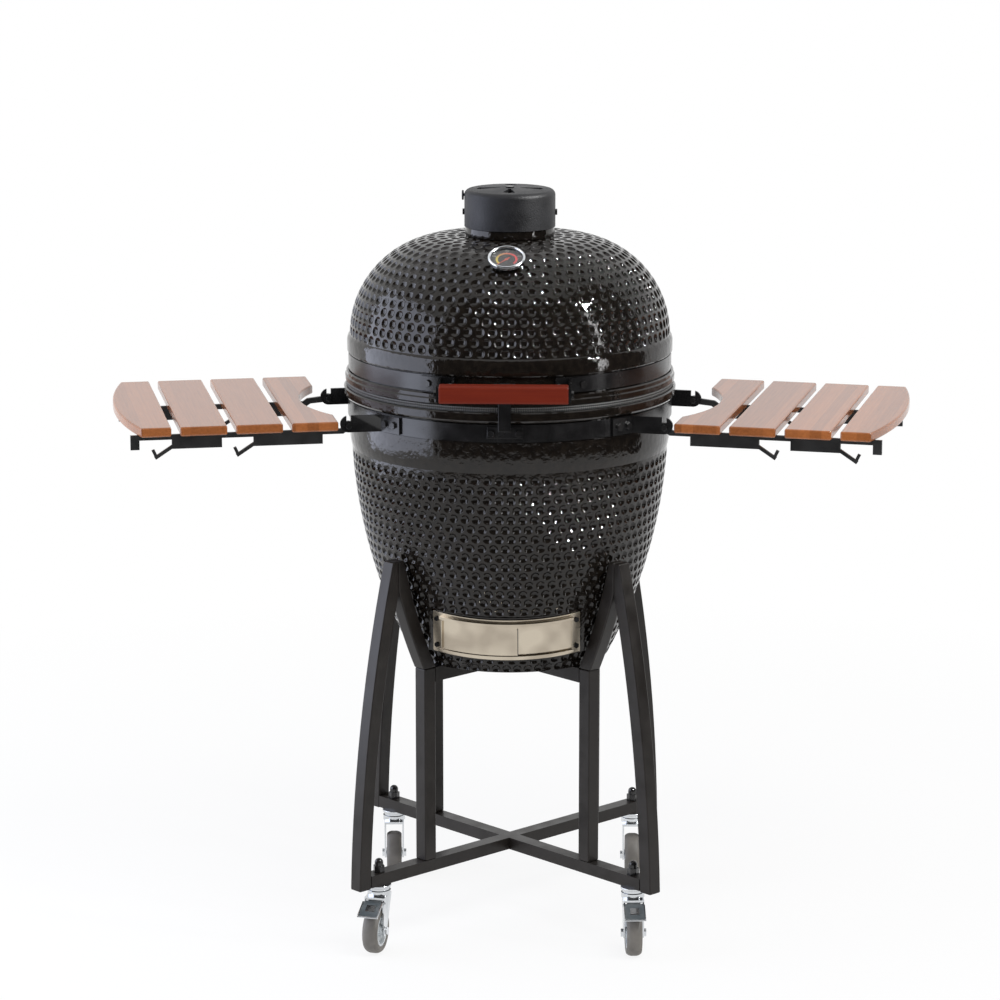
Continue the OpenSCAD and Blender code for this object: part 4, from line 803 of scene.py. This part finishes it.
for k in range(5):
    text = bpy.data.curves.new("number", "FONT")
    text.body = str(100 * k)
    text.size = number_size
    text.align_x = "CENTER"
    text.align_y = "CENTER"
    a = dial_start + dial_sweep * k / 4
    text.offset_x, text.offset_y = number_r * math.cos(a), number_r * math.sin(a)
    writing = bpy.data.objects.new("number", text)
    mesh = bpy.data.meshes.new_from_object(writing)
    bpy.data.objects.remove(writing)
    printed("gauge_number_%d" % (100 * k), mesh, pale_print)

# ---------------------------------------------------------------------------------------------
# Draft door: a curved frame and two thin sliding doors of polished stainless steel.

for node, body in (("draft_frame", "grill_base"), ("draft_door_outer", "draft_outer"),
                   ("draft_door_inner", "draft_inner")):
    rounded(node, node + "_steel", stainless, body, "bright_steel", 0.0004)

# The outer door's free edge is hemmed. Beside it on the inner door, a strip of black steel is a
# painted shadow of the gap between the doors.
free_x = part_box("draft_door_outer")[1].x - 0.00005
free_edge = [v.co for v in nodes["draft_door_outer"].data.vertices if v.co.x > free_x]
foot, head = (Vector(pick(free_edge, key=lambda corner: corner.z)) for pick in (min, max))
upright = (head - foot).normalized()
outward = Vector((1, 0, 0)).cross(upright)
for name, material, slot, x0, x1, rise in (
        ("draft_door_hem", stainless, "bright_steel", -0.0016, 0.0, 0.0006),
        # This black strip is painted shadow, standing for the shade in the gap.
        ("draft_door_gap_painted_shadow", blackened, "dark_screws", 0.0, 0.0012, -0.0004)):
    bar = [(x0, -0.0015), (x1, -0.0015), (x1, rise), (x0, rise)]
    mesh = extruded(name, [(bar, 0.001, (head - foot).length - 0.008)], foot, Vector((1, 0, 0)),
                    outward, upright)
    piece(name, mesh, material, "draft_outer", slot)

# ---------------------------------------------------------------------------------------------
# Studio: a plain pale floor, a soft box on the left and one overhead, a strip and a small lamp on
# the right, a black curtain round the front, and the camera. Some of them show only in part: the
# small lamp only in gloss, the overhead box not in gloss, and the curtain only in reflections.


def shows_white(tree):
    """A factor that is 1 for what the camera, a gloss or glass sees directly."""
    path = put(tree, "LightPath").outputs
    return calc(tree, "MAXIMUM", path["Is Camera Ray"],
                calc(tree, "MAXIMUM", path["Is Glossy Ray"], path["Is Transmission Ray"]))


world = bpy.data.worlds.new("studio")
bpy.context.scene.world = world
world.use_nodes = True
tree = world.node_tree
tree.nodes.clear()
soft = put(tree, "Background", Color=(1, 1, 1, 1), Strength=0.55)
white = put(tree, "Background", Color=(1, 1, 1, 1), Strength=1.0)
mix = put(tree, "MixShader")
tree.links.new(shows_white(tree), mix.inputs[0])
tree.links.new(soft.outputs[0], mix.inputs[1])
tree.links.new(white.outputs[0], mix.inputs[2])
tree.links.new(mix.outputs[0], tree.nodes.new("ShaderNodeOutputWorld").inputs[0])

floor_mesh = bpy.data.meshes.new("floor")
floor_half = 30
floor_mesh.from_pydata([(-floor_half, -floor_half, 0), (floor_half, -floor_half, 0),
                        (floor_half, floor_half, 0), (-floor_half, floor_half, 0)], [],
                       [(0, 1, 2, 3)])
floor = bpy.data.objects.new("floor", floor_mesh)
bpy.context.scene.collection.objects.link(floor)
floor_paint = bpy.data.materials.new("pale_floor")
floor_paint.use_nodes = True
tree = floor_paint.node_tree
tree.nodes.clear()
matt = put(tree, "BsdfDiffuse", Color=(0.92, 0.92, 0.92, 1))
glow = put(tree, "Emission", Color=(1, 1, 1, 1), Strength=1.0)
mix = put(tree, "MixShader")
axes = put(tree, "SeparateXYZ", Vector=put(tree, "TexCoord").outputs["Object"]).outputs
reach = calc(tree, "SQRT", calc(tree, "ADD", calc(tree, "MULTIPLY", axes[0], axes[0]),
                                calc(tree, "MULTIPLY", axes[1], axes[1])))
# To the camera and in gloss the floor is mostly a white glow, not lamp light: 86 % glow within
# 0.7 m of the middle, rising to all glow beyond 2.2 m, so the lit matt part that keeps the
# object's shadow fades out away from it.
feed(tree, mix.inputs[0], calc(tree, "MULTIPLY", shows_white(tree),
                               remap(tree, reach, 0.7, 2.2, 0.86, 1.0)))
tree.links.new(matt.outputs[0], mix.inputs[1])
tree.links.new(glow.outputs[0], mix.inputs[2])
tree.links.new(mix.outputs[0], tree.nodes.new("ShaderNodeOutputMaterial").inputs[0])
floor_mesh.materials.append(floor_paint)

# A black curtain round the front, which only reflections see, keeps the glaze dark.
curtain_cloth = bpy.data.materials.new("black_curtain")
curtain_cloth.use_nodes = True
curtain_cloth.node_tree.nodes["Principled BSDF"].inputs["Base Color"].default_value = (
    0.01, 0.009, 0.008, 1)


def curtain(name, reach, start, end, low, high):
    """Part of an upright cylinder, from start to end in degrees to the right of the front."""
    panels = 24
    angles = [math.radians(start + (end - start) * k / panels) for k in range(panels + 1)]
    verts = [(reach * math.sin(a), -reach * math.cos(a), z) for z in (low, high) for a in angles]
    mesh = bpy.data.meshes.new(name)
    row = panels + 1
    mesh.from_pydata(verts, [], [(k, k + 1, k + row + 1, k + row) for k in range(panels)])
    mesh.materials.append(curtain_cloth)
    obj = bpy.data.objects.new(name, mesh)
    bpy.context.scene.collection.objects.link(obj)
    obj.visible_camera = obj.visible_diffuse = obj.visible_shadow = False
    obj.visible_transmission = False


curtain("curtain_front", 2.7, -50, 106, 0.0, 4.6)


def area_lamp(name, place, aim, width, height, power, colour=(1, 1, 1)):
    """A rectangular lamp at a place, turned to face its aim. Its power is in watts."""
    data = bpy.data.lights.new(name, "AREA")
    data.shape = "RECTANGLE"
    data.size, data.size_y = width, height
    data.energy = power
    data.color = colour
    lamp = bpy.data.objects.new(name, data)
    lamp.location = place
    lamp.rotation_euler = (Vector(aim) - Vector(place)).to_track_quat("-Z", "Y").to_euler()
    bpy.context.scene.collection.objects.link(lamp)
    return lamp


area_lamp("soft_box_left", (-2.45, -0.25, 1.25), (0, 0, 1.05), 3.0, 2.4, 66, (0.74, 0.80, 1.0))
area_lamp("strip_right", (2.0, -0.93, 1.5), (0, 0, 1.2), 0.16, 1.6, 10)
glint_lamp = area_lamp("lamp_right", (1.93, -0.78, 2.58), (0, 0, 0.9), 0.13, 0.13, 130)
glint_lamp.visible_diffuse = False
top_box = area_lamp("soft_box_top", (1.1, -1.6, 3.3), (0, 0, 0.9), 1.6, 1.2, 46)
top_box.visible_glossy = False

camera_data = bpy.data.cameras.new("camera")
camera_data.sensor_width = 36
camera_data.lens = 132.98
camera_data.clip_end = 60
camera = bpy.data.objects.new("camera", camera_data)
yaw, look_down, look_aside = math.radians(1.5), math.radians(12.28), 0.0056
camera.location = Matrix.Rotation(yaw, 3, "Z") @ Vector((0.0172, -5.924, 1.9927))
camera.rotation_euler = (math.pi / 2 - look_down, 0, yaw + look_aside)
bpy.context.scene.collection.objects.link(camera)
bpy.context.scene.camera = camera
bpy.context.scene.view_settings.view_transform = "Standard"
